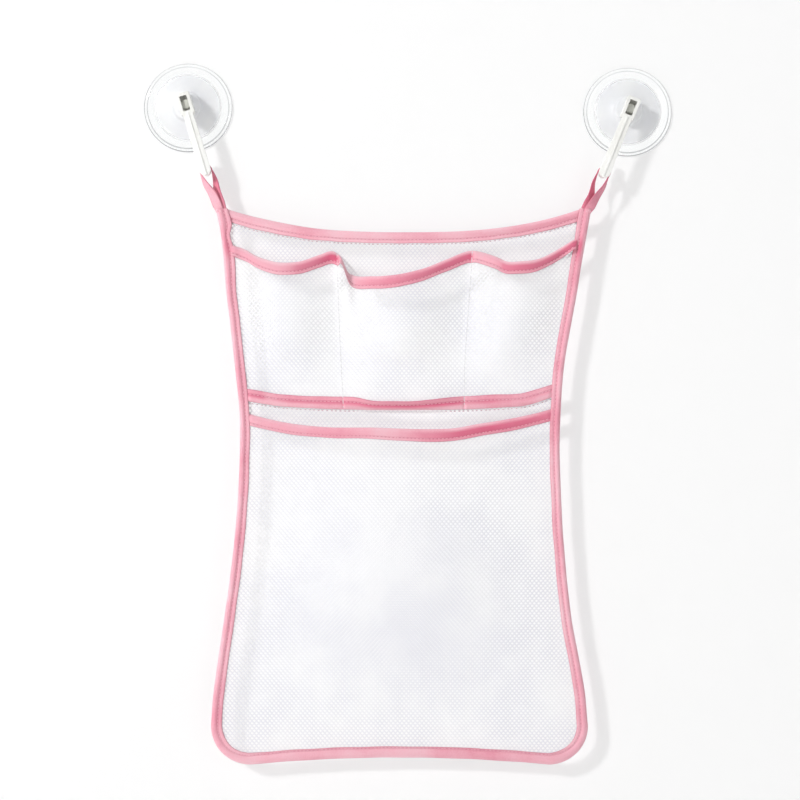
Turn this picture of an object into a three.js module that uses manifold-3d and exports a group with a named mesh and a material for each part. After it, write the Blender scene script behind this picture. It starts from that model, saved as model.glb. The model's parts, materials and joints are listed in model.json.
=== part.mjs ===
import * as THREE from 'three';
import { mergeVertices } from 'three/addons/utils/BufferGeometryUtils.js';
import Module from 'manifold-3d';

// Mesh bath toy organizer with four pockets, hung from two suction cups.
// Millimetres, +Z up. The wall is the plane y = 0 and the front faces -Y.
// The origin is on the wall, halfway between the two cup centres.

// Where the pieces hang
const cupSpacing = 373.2;
const cupDrop = 3.6; // the right cup sits this much lower
const leftLean = 16.8; // degrees that each hook leans inwards
const rightLean = 22.2;
const bagOffset = -7.15; // the bag's centre line from the middle of the cups
const bagTop = 85.5; // from the origin down to the seams below the loops
const bagStandoff = 17.5; // from the wall to the middle of the back panel
const clearance = 0.3;

// Suction cup, heights measured from the wall
const cupRadius = 37.5;
const landWidth = 7;
const hollowDepth = 1.4;
const flangeThickness = 1.1;
const ringRadius = 34.3;
const ringHeight = 2.3;
const discRadius = 27.5;
const discHeight = 3.4;
const domeHeight = 5.6;
const hubRadius = 12.2;
const hubHeight = 12;
const hubRound = 0.8;
const neckRadius = 3;
const buttonRadius = 4.2;
const buttonThickness = 5.6;
const cupSides = 32;

// Hook
const hookFront = 25; // from the wall to the front of the hook
const hookLength = 58; // from the knob's axis to the peg's axis
const headWidth = 11.5;
const headHeight = 18.5;
const headDepth = 11.5;
const headRound = 1.2;
const headLip = 1.7;
const headWall = 1.2;
const windowWidth = 6;
const windowHeight = 13;
const armTopWidth = 8.4;
const armWidth = 9.8;
const armThickness = 2.8;
const edgeChamfer = 0.5;
const ribWidth = 1.8;
const ribHeight = 0.9;
const pegRadius = 4;
const pegGap = 9.9; // between the arm and the tip, where the loop lies
const tipThickness = 2.2;
const tipWidth = 7.4;
const tipRise = 12; // from the peg's axis
const pegSides = 24;
const overrun = 1;

// Ribbon loops
const ribbonWidth = 8;
const ribbonThickness = 1.2;
const strandShift = 1.4; // each strand's sideways shift where it is sewn down
const strandGap = 0.5; // between the two strands where they lie together
const twistStart = 5.8; // from the peg's axis along the loop
const twistLength = 15;

// Bag, its outer outline
const bagWidth = 316.7;
const bagHeight = 467;
const cornerRadius = 33;
const bottomBow = 5.9;
const topEndDrop = 1.5; // from the seam to the top edge at the sides
const topSag = 18.4;
const panelThickness = 0.6;
const meshColumns = 10; // the net's openings, as a plain grid
const backMeshRows = 15;
const mainMeshRows = 9;
const meshOpenShare = 0.78; // of each step of the grid, across and down
const tapeWidth = 9.6;
const tapeWall = 0.6;

// Pockets, depths measured down from the seams and forwards from the flat bag
const mouthDepth = 57;
const upperBottomDepth = 164;
const upperBottomSag = 6;
const mainMouthLeftDrop = 9; // below the ends of the upper pockets' foot
const mainMouthRightDrop = 4.5;
const mainMouthSag = 14.8;
const leftPocketBulge = 13;
const middlePocketBulge = 17;
const rightPocketBulge = 13;
const mainPocketBulge = 16;

// Sewing thread
const threadWidth = 0.7;
const threadThickness = 0.4;
const threadInset = 4.1; // from the tape's inner edge to the thread
const tackWidth = 4.4;
const tackHeight = 2.4;

// Half widths of the outline at shares of its height, as shares of bagWidth
const leftSideShares = [
  [0, 0.487], [0.06, 0.471], [0.15, 0.459], [0.28, 0.437], [0.37, 0.424],
  [0.46, 0.424], [0.6, 0.438], [0.73, 0.463], [0.865, 0.492], [0.93, 0.5],
];
const rightSideShares = [
  [0, 0.509], [0.06, 0.493], [0.15, 0.471], [0.28, 0.4375], [0.37, 0.427],
  [0.46, 0.4255], [0.6, 0.4355], [0.73, 0.455], [0.865, 0.4905], [0.93, 0.5],
];
// The upper pockets' mouth: across from tape to tape, and down as shares of mouthDepth
const mouthShares = [
  [0, 0.55], [0.035, 0.615], [0.064, 0.705], [0.095, 0.765], [0.137, 0.809], [0.195, 0.793],
  [0.254, 0.69], [0.29, 0.632], [0.315, 0.72], [0.341, 0.965], [0.414, 1.01], [0.487, 0.988],
  [0.56, 0.904], [0.633, 0.75], [0.69, 0.635], [0.72, 0.635], [0.776, 0.722], [0.81, 0.795],
  [0.851, 0.793], [0.895, 0.765], [0.93, 0.69], [1, 0.46],
];
const leftDividerShare = 0.3; // across from tape to tape
const rightDividerShare = 0.7;
const sagPower = 2.7; // how squarely a sagging edge hangs
const upperMouthOpenShare = 0.7; // of a pocket's bulge, at its mouth
const mainMouthOpenShare = 0.6;
const fullestShare = 0.4; // how far down a pocket bulges most

const wasm = await Module();
wasm.setup();

// Closed geometry with merged corners and its faces pointing out
function closed(geometry) {
  const bare = new THREE.BufferGeometry();
  bare.setAttribute('position', geometry.getAttribute('position'));
  if (geometry.index) bare.setIndex(geometry.index);
  const merged = mergeVertices(bare);
  const at = merged.getAttribute('position');
  const index = merged.index.array;
  const corners = [new THREE.Vector3(), new THREE.Vector3(), new THREE.Vector3()];
  let volume = 0;
  for (let i = 0; i < index.length; i += 3) {
    corners.forEach((corner, k) => corner.fromBufferAttribute(at, index[i + k]));
    volume += corners[0].dot(corners[1].clone().cross(corners[2]));
  }
  if (volume < 0) {
    for (let i = 0; i < index.length; i += 3) {
      [index[i + 1], index[i + 2]] = [index[i + 2], index[i + 1]];
    }
  }
  merged.computeVertexNormals();
  return merged;
}

function solid(geometry) {
  const whole = closed(geometry);
  return new wasm.Manifold(new wasm.Mesh({
    numProp: 3,
    vertProperties: new Float32Array(whole.getAttribute('position').array),
    triVerts: new Uint32Array(whole.index.array),
  }));
}

function meshOf(cut) {
  const { vertProperties, triVerts } = cut.getMesh();
  const geometry = new THREE.BufferGeometry();
  geometry.setAttribute('position', new THREE.BufferAttribute(vertProperties, 3));
  geometry.setIndex(new THREE.BufferAttribute(triVerts, 1));
  return closed(geometry);
}

// A section carried along stations, each with its place and its two directions
function sweep(stations, section) {
  const ring = section.length;
  const positions = [];
  for (const { at, across, through } of stations) {
    for (const [a, b] of section) {
      const point = at.clone().addScaledVector(across, a).addScaledVector(through, b);
      positions.push(point.x, point.y, point.z);
    }
  }
  const faces = [];
  for (let i = 0; i + 1 < stations.length; i++) {
    for (let k = 0; k < ring; k++) {
      const a = i * ring + k;
      const b = i * ring + ((k + 1) % ring);
      faces.push(a, b, b + ring, a, b + ring, a + ring);
    }
  }
  const cap = THREE.ShapeUtils.triangulateShape(section.map((point) => new THREE.Vector2(...point)), []);
  const last = (stations.length - 1) * ring;
  for (const [a, b, c] of cap) {
    faces.push(a, c, b, last + a, last + b, last + c);
  }
  const geometry = new THREE.BufferGeometry();
  geometry.setAttribute('position', new THREE.Float32BufferAttribute(positions, 3));
  geometry.setIndex(faces);
  return closed(geometry);
}

// A thin sheet over a grid of middle points, thick along Y, less the cells that are open
function sheet(rows, open = () => false) {
  const wide = rows[0].length;
  const half = panelThickness / 2;
  const positions = [];
  for (const side of [-half, half]) {
    for (const row of rows) {
      for (const point of row) positions.push(point.x, point.y + side, point.z);
    }
  }
  const back = rows.length * wide;
  const faces = [];
  const quad = (a, b, c, d) => faces.push(a, b, c, a, c, d);
  for (let j = 0; j + 1 < rows.length; j++) {
    for (let i = 0; i + 1 < wide; i++) {
      const a = j * wide + i;
      const corners = [a, a + wide, a + wide + 1, a + 1];
      if (open(i, j)) {
        corners.forEach((from, k) => {
          const to = corners[(k + 1) % 4];
          quad(from, to, back + to, back + from);
        });
        continue;
      }
      quad(...corners);
      quad(...corners.map((corner) => back + corner).reverse());
    }
    const left = j * wide;
    const right = left + wide - 1;
    quad(left, back + left, back + left + wide, left + wide);
    quad(right, right + wide, back + right + wide, back + right);
  }
  for (let i = 0; i + 1 < wide; i++) {
    const low = (rows.length - 1) * wide + i;
    quad(i, i + 1, back + i + 1, back + i);
    quad(low, back + low, back + low + 1, low + 1);
  }
  const geometry = new THREE.BufferGeometry();
  geometry.setAttribute('position', new THREE.Float32BufferAttribute(positions, 3));
  geometry.setIndex(faces);
  return geometry;
}

// A flat outline in X and Z, thick from y = near back to y = far
function plate(outline, near, far, chamfer = 0) {
  const shape = new THREE.Shape(outline.map(([x, z]) => new THREE.Vector2(x, z)));
  const geometry = new THREE.ExtrudeGeometry(shape, {
    depth: far - near - 2 * chamfer,
    bevelEnabled: chamfer > 0,
    bevelThickness: chamfer,
    bevelSize: chamfer,
    bevelOffset: -chamfer,
    bevelSegments: 1,
  });
  geometry.rotateX(Math.PI / 2);
  return geometry.translate(0, far - chamfer, 0);
}

// Smooth curve through a table of shares
function follow(shares, t) {
  const last = shares.length - 1;
  const slope = (i) => {
    const before = shares[Math.max(i - 1, 0)];
    const after = shares[Math.min(i + 1, last)];
    return (after[1] - before[1]) / (after[0] - before[0]);
  };
  let i = 0;
  while (i < last - 1 && t > shares[i + 1][0]) i++;
  const [start, low] = shares[i];
  const [end, high] = shares[i + 1];
  const span = end - start;
  const q = THREE.MathUtils.clamp((t - start) / span, 0, 1);
  const eased = q * q * (3 - 2 * q);
  const leaving = q * (1 - q) * (1 - q) * slope(i) * span;
  const arriving = q * q * (q - 1) * slope(i + 1) * span;
  return low + (high - low) * eased + leaving + arriving;
}

const ease = (t) => THREE.MathUtils.smoothstep(t, 0, 1);

function evenly(from, to, steps) {
  return Array.from({ length: steps + 1 }, (_, i) => from + ((to - from) * i) / steps);
}

const leftCupAt = new THREE.Vector3(-cupSpacing / 2, 0, cupDrop / 2);
const rightCupAt = new THREE.Vector3(cupSpacing / 2, 0, -cupDrop / 2);

const headBack = hookFront - headDepth;
const buttonBack = headBack + headLip + clearance;

function cup() {
  const profile = [
    [0, hollowDepth], [cupRadius - 2 * landWidth, hollowDepth], [cupRadius - landWidth, 0],
    [cupRadius, 0], [cupRadius, flangeThickness], [ringRadius + flangeThickness, flangeThickness],
    [ringRadius, ringHeight], [discRadius + flangeThickness, ringHeight], [discRadius, discHeight],
    [(discRadius + hubRadius) / 2, (discHeight + domeHeight) / 2], [hubRadius, domeHeight],
    [hubRadius - hubRound, hubHeight - hubRound], [hubRadius - 2 * hubRound, hubHeight],
    [neckRadius, hubHeight], [neckRadius, buttonBack], [buttonRadius, buttonBack + clearance],
    [buttonRadius, buttonBack + buttonThickness - hubRound],
    [buttonRadius - hubRound, buttonBack + buttonThickness], [0, buttonBack + buttonThickness],
  ];
  const points = profile.map(([radius, height]) => new THREE.Vector2(radius, height));
  return closed(new THREE.LatheGeometry(points, cupSides).rotateX(Math.PI));
}

function roundedBox(width, height, corner) {
  const shape = new THREE.Shape();
  const [x, z] = [width / 2, height / 2];
  shape.moveTo(-x + corner, -z);
  shape.absarc(x - corner, -z + corner, corner, -Math.PI / 2, 0);
  shape.absarc(x - corner, z - corner, corner, 0, Math.PI / 2);
  shape.absarc(-x + corner, z - corner, corner, Math.PI / 2, Math.PI);
  shape.absarc(-x + corner, -z + corner, corner, Math.PI, Math.PI * 1.5);
  return shape.getPoints(3).slice(0, -1).map((point) => [point.x, point.y]);
}

// Straight sides from the top down to a half round end about the peg's axis
function tongue(topWidth, endWidth, top, roundTop = false) {
  const shape = new THREE.Shape();
  shape.moveTo(topWidth / 2, top);
  if (roundTop) shape.absarc(0, top, topWidth / 2, 0, Math.PI);
  else shape.lineTo(-topWidth / 2, top);
  shape.absarc(0, -hookLength, endWidth / 2, Math.PI, 2 * Math.PI);
  return shape.getPoints(8).map((point) => [point.x, point.y]);
}

function bar(width, depth, height) {
  return new THREE.BoxGeometry(width, depth, height);
}

function hook() {
  const armBack = -(hookFront - armThickness);
  const tipFront = armBack + pegGap;
  const tipBack = tipFront + tipThickness;
  const head = plate(roundedBox(headWidth, headHeight, headRound), -hookFront, -headBack, edgeChamfer);
  const arm = plate(tongue(armTopWidth, armWidth, -headHeight / 2 + overrun), -hookFront, armBack, edgeChamfer);
  const ribEnd = -hookLength - armWidth / 2 + edgeChamfer;
  const ribTop = -headHeight / 2;
  const rib = bar(ribWidth, ribHeight + overrun, ribTop - ribEnd)
    .translate(0, -hookFront - ribHeight / 2 + overrun / 2, (ribTop + ribEnd) / 2);
  const peg = new THREE.CylinderGeometry(pegRadius, pegRadius, pegGap + 2 * overrun, pegSides)
    .translate(0, (armBack + tipFront) / 2, -hookLength);
  const tipTop = -hookLength + tipRise - tipWidth / 2;
  const tip = plate(tongue(tipWidth, 2 * pegRadius, tipTop, true), tipFront, tipBack, edgeChamfer);
  const cavityFront = hookFront - headLip;
  const cavityBack = headBack + headLip;
  const cavity = bar(headWidth - 2 * headWall, cavityFront - cavityBack, headHeight - 2 * headWall)
    .translate(0, -(cavityFront + cavityBack) / 2, 0);
  const window = bar(windowWidth, headLip + 2 * overrun, windowHeight)
    .translate(0, -hookFront + headLip / 2, 0);
  const neckHole = new THREE.CylinderGeometry(
    neckRadius + clearance, neckRadius + clearance, headLip + 2 * overrun, pegSides,
  ).translate(0, -headBack - headLip / 2, 0);
  const whole = [arm, rib, peg, tip].reduce((sum, piece) => sum.add(solid(piece)), solid(head));
  return meshOf([cavity, window, neckHole].reduce((sum, piece) => sum.subtract(solid(piece)), whole));
}

const pegMiddle = -(hookFront - armThickness - pegGap / 2);

function pegAt(cupAt, lean) {
  const angle = THREE.MathUtils.degToRad(lean);
  return cupAt.clone().add(new THREE.Vector3(Math.sin(angle), 0, -Math.cos(angle)).multiplyScalar(hookLength));
}

// Layers of the flat bag, forwards of the middle of the back panel
const foldInset = tapeWall + clearance; // from a tape's fold to the panel's edge inside it
const pocketPlane = panelThickness + foldInset + clearance;
const tapeHalf = panelThickness / 2 + foldInset;
const bagFront = pocketPlane + tapeHalf;

const forwards = new THREE.Vector3(0, -1, 0);

// The square direction to a loop's run, on the side of its front strand
function sideOf(along, side) {
  return new THREE.Vector3(-along.z, 0, along.x).multiplyScalar(side);
}

// The two strands leave the peg side by side and turn to lie one on the other.
// Places are measured from the peg's axis; side is -1 where the front strand is the left one.
function loop(base, side) {
  const reach = base.length();
  const pull = reach / 3;
  const middle = new THREE.CubicBezierCurve3(
    new THREE.Vector3(), base.clone().setY(0).normalize().multiplyScalar(pull),
    base.clone().add(new THREE.Vector3(0, 0, pull)), base,
  );
  const wrap = pegRadius + clearance + ribbonThickness / 2;
  const together = (ribbonThickness + strandGap) / 2;
  const strand = (t, front) => {
    const sideways = sideOf(middle.getTangent(t), side);
    const spent = (t * reach - twistStart) / twistLength;
    const turn = ease(spent) * Math.PI / 2;
    const spread = THREE.MathUtils.lerp(wrap, together, ease(spent));
    const apart = sideways.clone().multiplyScalar(Math.cos(turn)).addScaledVector(forwards, Math.sin(turn));
    const across = forwards.clone().multiplyScalar(Math.cos(turn)).addScaledVector(sideways, -Math.sin(turn));
    const at = middle.getPoint(t).addScaledVector(apart, front * spread);
    at.addScaledVector(sideways, front * strandShift * ease(spent));
    return { at, across, through: apart.multiplyScalar(front) };
  };
  const start = middle.getTangent(0);
  const round = evenly(0, Math.PI, 10).slice(1, -1).map((angle) => {
    const out = sideOf(start, side).multiplyScalar(Math.cos(angle)).addScaledVector(start, -Math.sin(angle));
    return { at: out.clone().multiplyScalar(wrap), across: forwards, through: out };
  });
  const steps = evenly(0, 1, 13);
  const stations = [
    ...steps.toReversed().map((t) => strand(t, 1)), ...round, ...steps.map((t) => strand(t, -1)),
  ];
  const [w, h] = [ribbonWidth / 2, ribbonThickness / 2];
  const soft = h / 2;
  return sweep(stations, [[-w, -soft], [-w + soft, -h], [w - soft, -h], [w, -soft],
    [w, soft], [w - soft, h], [-w + soft, h], [-w, soft]]);
}

// The bag's outline, down the left side, along the bottom and up the right side,
// each station with the direction into the bag. Places are measured from the middle
// of the seams' line, in the plane of the back panel.
function outlineStations() {
  const half = bagWidth / 2;
  const straight = bagHeight - cornerRadius;
  const sideSteps = 22;
  const levelSteps = 4; // over which the tape turns level towards its two top ends
  const depths = evenly(clearance, straight, sideSteps);
  const left = depths.map((d) => [-bagWidth * follow(leftSideShares, d / bagHeight), -d]);
  const right = depths.map((d) => [bagWidth * follow(rightSideShares, d / bagHeight), -d]);
  const corner = (middle, from) => evenly(from, from + Math.PI / 2, 6).slice(1).map((angle) => [
    middle + cornerRadius * Math.cos(angle), -straight + cornerRadius * Math.sin(angle),
  ]);
  const run = half - cornerRadius;
  const bottom = evenly(-run, run, 10).slice(1).map((x) => [x, -bagHeight + bottomRise(x)]);
  const points = [
    ...left, ...corner(-run, Math.PI), ...bottom, ...corner(run, Math.PI * 1.5), ...right.reverse().slice(1),
  ];
  return points.map(([x, z], i) => {
    const [x0, z0] = points[Math.max(i - 1, 0)];
    const [x1, z1] = points[Math.min(i + 1, points.length - 1)];
    const inwards = new THREE.Vector3(z0 - z1, 0, x1 - x0).normalize();
    const stepsFromEnd = Math.min(i, points.length - 1 - i);
    const level = new THREE.Vector3(-Math.sign(x), 0, 0);
    inwards.lerp(level, 1 - ease(stepsFromEnd / levelSteps)).normalize();
    return { at: new THREE.Vector3(x, 0, z), across: inwards, through: forwards };
  });
}

function bottomRise(x) {
  const share = x / (bagWidth / 2 - cornerRadius);
  return bottomBow * Math.max(0, 1 - share * share);
}

const outline = outlineStations();
const lowestAt = outline.findIndex(({ at }) => at.x >= 0);

// Where the perimeter tape's inner edge lies at a height, on one side
function lipAt(z, side) {
  const half = side < 0 ? outline.slice(0, lowestAt) : outline.slice(lowestAt).reverse();
  const lips = half.map(({ at, across }) => at.clone().addScaledVector(across, tapeWidth));
  let i = 0;
  while (i < lips.length - 2 && z < lips[i + 1].z) i++;
  const [upper, lower] = [lips[i], lips[i + 1]];
  const share = THREE.MathUtils.clamp((z - upper.z) / (lower.z - upper.z), 0, 1);
  return THREE.MathUtils.lerp(upper.x, lower.x, share);
}

function acrossAt(u, z) {
  return THREE.MathUtils.lerp(lipAt(z, -1), lipAt(z, 1), u);
}

const sagging = (u) => 1 - Math.abs(2 * u - 1) ** sagPower;
const topEdge = (u) => -topEndDrop - topSag * sagging(u);
const upperMouth = (u) => -mouthDepth * follow(mouthShares, u);
const upperBottom = (u) => -upperBottomDepth - upperBottomSag * sagging(u);
const mainMouth = (u) => (
  -upperBottomDepth - THREE.MathUtils.lerp(mainMouthLeftDrop, mainMouthRightDrop, u)
  - mainMouthSag * sagging(u)
);
const bottomLip = (u) => {
  const x = (2 * u - 1) * (bagWidth / 2 - cornerRadius);
  return -bagHeight + tapeWidth + bottomRise(x);
};

// How full a pocket is from its mouth, 0, down to its foot, 1
function fullness(share, mouthOpenShare) {
  const opening = mouthOpenShare + (1 - mouthOpenShare) * ease(share / fullestShare);
  return opening * (1 - ease((share - fullestShare) / (1 - fullestShare)));
}

function lobe(u, from, to, depth) {
  const share = (u - from) / (to - from);
  return share > 0 && share < 1 ? depth * Math.sin(Math.PI * share) ** 1.5 : 0;
}

const band = tapeWidth + clearance;

function upperBulge(u, z) {
  const top = upperMouth(u) - band;
  const foot = upperBottom(u) + band;
  const share = THREE.MathUtils.clamp((top - z) / (top - foot), 0, 1);
  const across = lobe(u, 0, leftDividerShare, leftPocketBulge)
    + lobe(u, leftDividerShare, rightDividerShare, middlePocketBulge)
    + lobe(u, rightDividerShare, 1, rightPocketBulge);
  return across * fullness(share, upperMouthOpenShare);
}

function mainBulge(u, z) {
  const top = mainMouth(u) - band;
  const foot = bottomLip(u);
  const share = THREE.MathUtils.clamp((top - z) / (top - foot), 0, 1);
  return lobe(u, 0, 1, mainPocketBulge) * fullness(share, mainMouthOpenShare);
}

// Places across, drawn together at both ends
function gathered(from, to, steps) {
  return evenly(0, Math.PI, steps).map((angle) => from + (to - from) * (1 - Math.cos(angle)) / 2);
}

const pocketColumns = [
  ...gathered(0, leftDividerShare, 10), ...gathered(leftDividerShare, rightDividerShare, 12).slice(1),
  ...gathered(rightDividerShare, 1, 10).slice(1),
];

// Edges of the strips and openings of a plain grid, which starts and ends with half a strip
function gridShares(count) {
  const strip = (1 - meshOpenShare) / 2;
  const edges = evenly(0, count - 1, count - 1).flatMap((step) => [step + strip, step + 1 - strip]);
  return [0, ...edges.map((edge) => edge / count), 1];
}

const netColumns = gridShares(meshColumns);

// A panel's middle points, row by row, carried out past the outline on both sides
function panelRows(columns, heights, plane, bulge) {
  const beyond = bagWidth / 2 + tapeWidth;
  return heights.map((heightAt) => {
    const row = columns.map((u) => {
      const z = heightAt(u);
      return new THREE.Vector3(acrossAt(u, z), -plane - bulge(u, z), z);
    });
    const flat = (x, z) => new THREE.Vector3(x, -plane, z);
    return [flat(-beyond, heightAt(0)), ...row, flat(beyond, heightAt(1))];
  });
}

function heightsBetween(top, foot, steps) {
  return evenly(0, 1, steps).map((v) => (u) => THREE.MathUtils.lerp(top(u), foot(u), v));
}

const foldLine = outline.map(({ at, across }) => at.clone().addScaledVector(across, foldInset));

function insideFold(panel) {
  const around = foldLine.map((point) => [point.x, point.z]);
  const deep = pocketPlane + Math.max(middlePocketBulge, leftPocketBulge, rightPocketBulge, mainPocketBulge);
  return meshOf(solid(panel).intersect(solid(plate(around, -deep - tapeWidth, tapeWidth))));
}

// Net from an upper edge down to the bag's bottom, with a plain grid of openings
function netPanel(meshRows, edge, plane, bulge) {
  const top = (u) => edge(u) - foldInset;
  const heights = gridShares(meshRows).map((v) => (
    (u) => THREE.MathUtils.lerp(edge(u) - band, bottomLip(u), v)
  ));
  const rows = panelRows(netColumns, [top, ...heights], plane, bulge);
  const lowest = rows[rows.length - 1].map((point) => point.clone().setZ(-bagHeight - tapeWidth));
  const isOpening = (step, count) => step % 2 === 0 && step > 0 && step <= 2 * count;
  return insideFold(sheet([...rows, lowest], (i, j) => isOpening(i, meshColumns) && isOpening(j, meshRows)));
}

function upperPocketPanel() {
  const top = (u) => upperMouth(u) - foldInset;
  const foot = (u) => upperBottom(u) + foldInset;
  const heights = heightsBetween((u) => upperMouth(u) - band, (u) => upperBottom(u) + band, 7);
  return insideFold(sheet(panelRows(pocketColumns, [top, ...heights, foot], pocketPlane, upperBulge)));
}

// Tape folded over an edge: across from its fold, through from back to front
function foldedSection(back, front) {
  return [[0, back], [tapeWidth, back], [tapeWidth, back + tapeWall], [tapeWall, back + tapeWall],
    [tapeWall, front - tapeWall], [tapeWidth, front - tapeWall], [tapeWidth, front], [0, front]];
}

function threadSection(from, front) {
  const near = front + clearance;
  const far = near + threadThickness;
  return [[from, near], [from + threadWidth, near], [from + threadWidth, far], [from, far]];
}

// Stations along an edge that runs across the bag, from tape to tape
function edgeStations(columns, heightAt, middle, downwards = 1) {
  const endClearance = columns.map(() => 0);
  endClearance[0] = clearance;
  endClearance[columns.length - 1] = -clearance;
  return columns.map((u, i) => {
    const z = heightAt(u);
    const lower = z - downwards * tapeWidth;
    const at = new THREE.Vector3(acrossAt(u, z) + endClearance[i], -middle(u, z), z);
    const across = new THREE.Vector3(acrossAt(u, lower) - acrossAt(u, z), 0, lower - z);
    return { at, across: across.divideScalar(tapeWidth), through: forwards };
  });
}

const flatBack = () => 0;
const flatPocket = () => pocketPlane;
const pocketTape = foldedSection(-tapeHalf, tapeHalf);
const pocketThread = threadSection(tapeWidth - threadInset, tapeHalf);

const topRun = edgeStations(gathered(0, 1, 20), topEdge, flatBack);
const upperMouthRun = edgeStations(pocketColumns, upperMouth, (u, z) => pocketPlane + upperBulge(u, z));
const upperBottomRun = edgeStations(gathered(0, 1, 20), upperBottom, flatPocket, -1);
const mainMouthRun = edgeStations(netColumns, mainMouth, (u, z) => pocketPlane + mainBulge(u, z));

function dividerSeam(u) {
  const heights = heightsBetween((at) => upperMouth(at) - band, (at) => upperBottom(at) + band, 7);
  const front = pocketPlane + panelThickness / 2;
  const stations = heights.map((heightAt) => {
    const z = heightAt(u);
    return {
      at: new THREE.Vector3(acrossAt(u, z), 0, z), across: new THREE.Vector3(1, 0, 0), through: forwards,
    };
  });
  return sweep(stations, threadSection(-threadWidth / 2, front));
}

function cornerTack(end) {
  const middle = end.at.clone().addScaledVector(end.across, (tapeWidth - threadInset) / 2);
  return closed(bar(tackWidth, threadThickness, tackHeight)
    .translate(middle.x, -bagFront - clearance - threadThickness / 2, middle.z - tackHeight));
}

const clearPlastic = new THREE.MeshStandardMaterial({ color: 0xe6eaec, roughness: 0.2, metalness: 0 });
const whitePlastic = new THREE.MeshStandardMaterial({ color: 0xf4f4f0, roughness: 0.35, metalness: 0 });
const pinkTape = new THREE.MeshStandardMaterial({ color: 0xf5b4c3, roughness: 0.8, metalness: 0 });
const whiteNet = new THREE.MeshStandardMaterial({ color: 0xf3f3f4, roughness: 0.85, metalness: 0 });
const pinkThread = new THREE.MeshStandardMaterial({ color: 0xd98a9c, roughness: 0.7, metalness: 0 });
const whiteThread = new THREE.MeshStandardMaterial({ color: 0xf0f0f0, roughness: 0.7, metalness: 0 });

function named(name, geometry, material) {
  const mesh = new THREE.Mesh(geometry, material);
  mesh.name = name;
  return mesh;
}

const organizer = new THREE.Group();
const bag = new THREE.Group();
bag.position.set(bagOffset, -bagStandoff, -bagTop);
organizer.add(bag);

const seamDepth = -(bagFront - tapeHalf) / 2;
for (const [name, side, cupAt, lean, end] of [
  ['left', -1, leftCupAt, leftLean, outline[0]],
  ['right', 1, rightCupAt, -rightLean, outline[outline.length - 1]],
]) {
  const cupMesh = named(`${name}_cup`, cup(), clearPlastic);
  cupMesh.position.copy(cupAt);
  const hookMesh = named(`${name}_hook`, hook(), whitePlastic);
  hookMesh.position.copy(cupAt);
  hookMesh.rotation.y = THREE.MathUtils.degToRad(-lean);
  const peg = pegAt(cupAt, lean).setY(pegMiddle);
  const corner = end.at.clone().addScaledVector(end.across, tapeWidth / 2).add(bag.position);
  const base = corner.sub(peg).add(new THREE.Vector3(0, seamDepth, clearance));
  const loopMesh = named(`${name}_loop`, loop(base, side), pinkTape);
  loopMesh.position.copy(peg);
  organizer.add(cupMesh, hookMesh, loopMesh);
  bag.add(named(`${name}_corner_bartack`, cornerTack(end), pinkThread));
}

bag.add(
  named('back_panel', netPanel(backMeshRows, topEdge, 0, flatBack), whiteNet),
  named('upper_pocket_panel', upperPocketPanel(), whiteNet),
  named('main_pocket_panel', netPanel(mainMeshRows, mainMouth, pocketPlane, mainBulge), whiteNet),
  named('perimeter_binding', sweep(outline, foldedSection(-tapeHalf, bagFront)), pinkTape),
  named('top_edge_binding', sweep(topRun, pocketTape), pinkTape),
  named('upper_pocket_top_binding', sweep(upperMouthRun, pocketTape), pinkTape),
  named('upper_pocket_bottom_binding', sweep(upperBottomRun, pocketTape), pinkTape),
  named('main_pocket_top_binding', sweep(mainMouthRun, pocketTape), pinkTape),
  named('left_divider_seam', dividerSeam(leftDividerShare), whiteThread),
  named('right_divider_seam', dividerSeam(rightDividerShare), whiteThread),
  named('perimeter_stitching', sweep(outline, threadSection(tapeWidth - threadInset, bagFront)), pinkThread),
  named('top_edge_stitching', sweep(topRun, pocketThread), pinkThread),
  named('upper_pocket_top_stitching', sweep(upperMouthRun, pocketThread), pinkThread),
  named('upper_pocket_bottom_stitching', sweep(upperBottomRun, pocketThread), pinkThread),
  named('main_pocket_stitching', sweep(mainMouthRun, pocketThread), pinkThread),
);

export default organizer;
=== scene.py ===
import json
import math
import random

import bmesh
import bpy
from mathutils import Matrix, Vector


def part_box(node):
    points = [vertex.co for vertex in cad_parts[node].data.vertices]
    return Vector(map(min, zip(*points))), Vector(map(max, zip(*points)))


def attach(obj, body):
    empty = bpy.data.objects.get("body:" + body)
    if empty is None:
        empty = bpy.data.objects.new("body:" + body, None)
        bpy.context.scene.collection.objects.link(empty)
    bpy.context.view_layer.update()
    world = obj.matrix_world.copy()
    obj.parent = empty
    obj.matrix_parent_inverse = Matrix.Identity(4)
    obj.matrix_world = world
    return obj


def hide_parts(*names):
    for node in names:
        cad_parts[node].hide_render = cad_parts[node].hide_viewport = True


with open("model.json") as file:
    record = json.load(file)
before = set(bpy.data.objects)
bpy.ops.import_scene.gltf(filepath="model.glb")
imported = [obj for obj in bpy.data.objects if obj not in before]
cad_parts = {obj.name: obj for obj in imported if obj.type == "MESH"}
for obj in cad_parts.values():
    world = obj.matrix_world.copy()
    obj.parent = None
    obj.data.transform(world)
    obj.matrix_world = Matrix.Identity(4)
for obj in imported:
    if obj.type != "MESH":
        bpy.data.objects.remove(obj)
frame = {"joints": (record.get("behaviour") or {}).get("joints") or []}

# Mesh bath toy organizer on two suction cups. The pieces are modelled in millimetres
# and scaled to metres as each one is finished. +Z is up and the front faces -Y.

mm = 0.001
forwards = Vector((0, -1, 0))
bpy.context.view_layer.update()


# General helpers

def mix(a, b, t):
    return a + (b - a) * t


def clamp(t):
    return min(max(t, 0.0), 1.0)


def ease(t):
    t = clamp(t)
    return t * t * (3 - 2 * t)


def evenly(start, end, steps):
    return [mix(start, end, i / steps) for i in range(steps + 1)]


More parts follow.
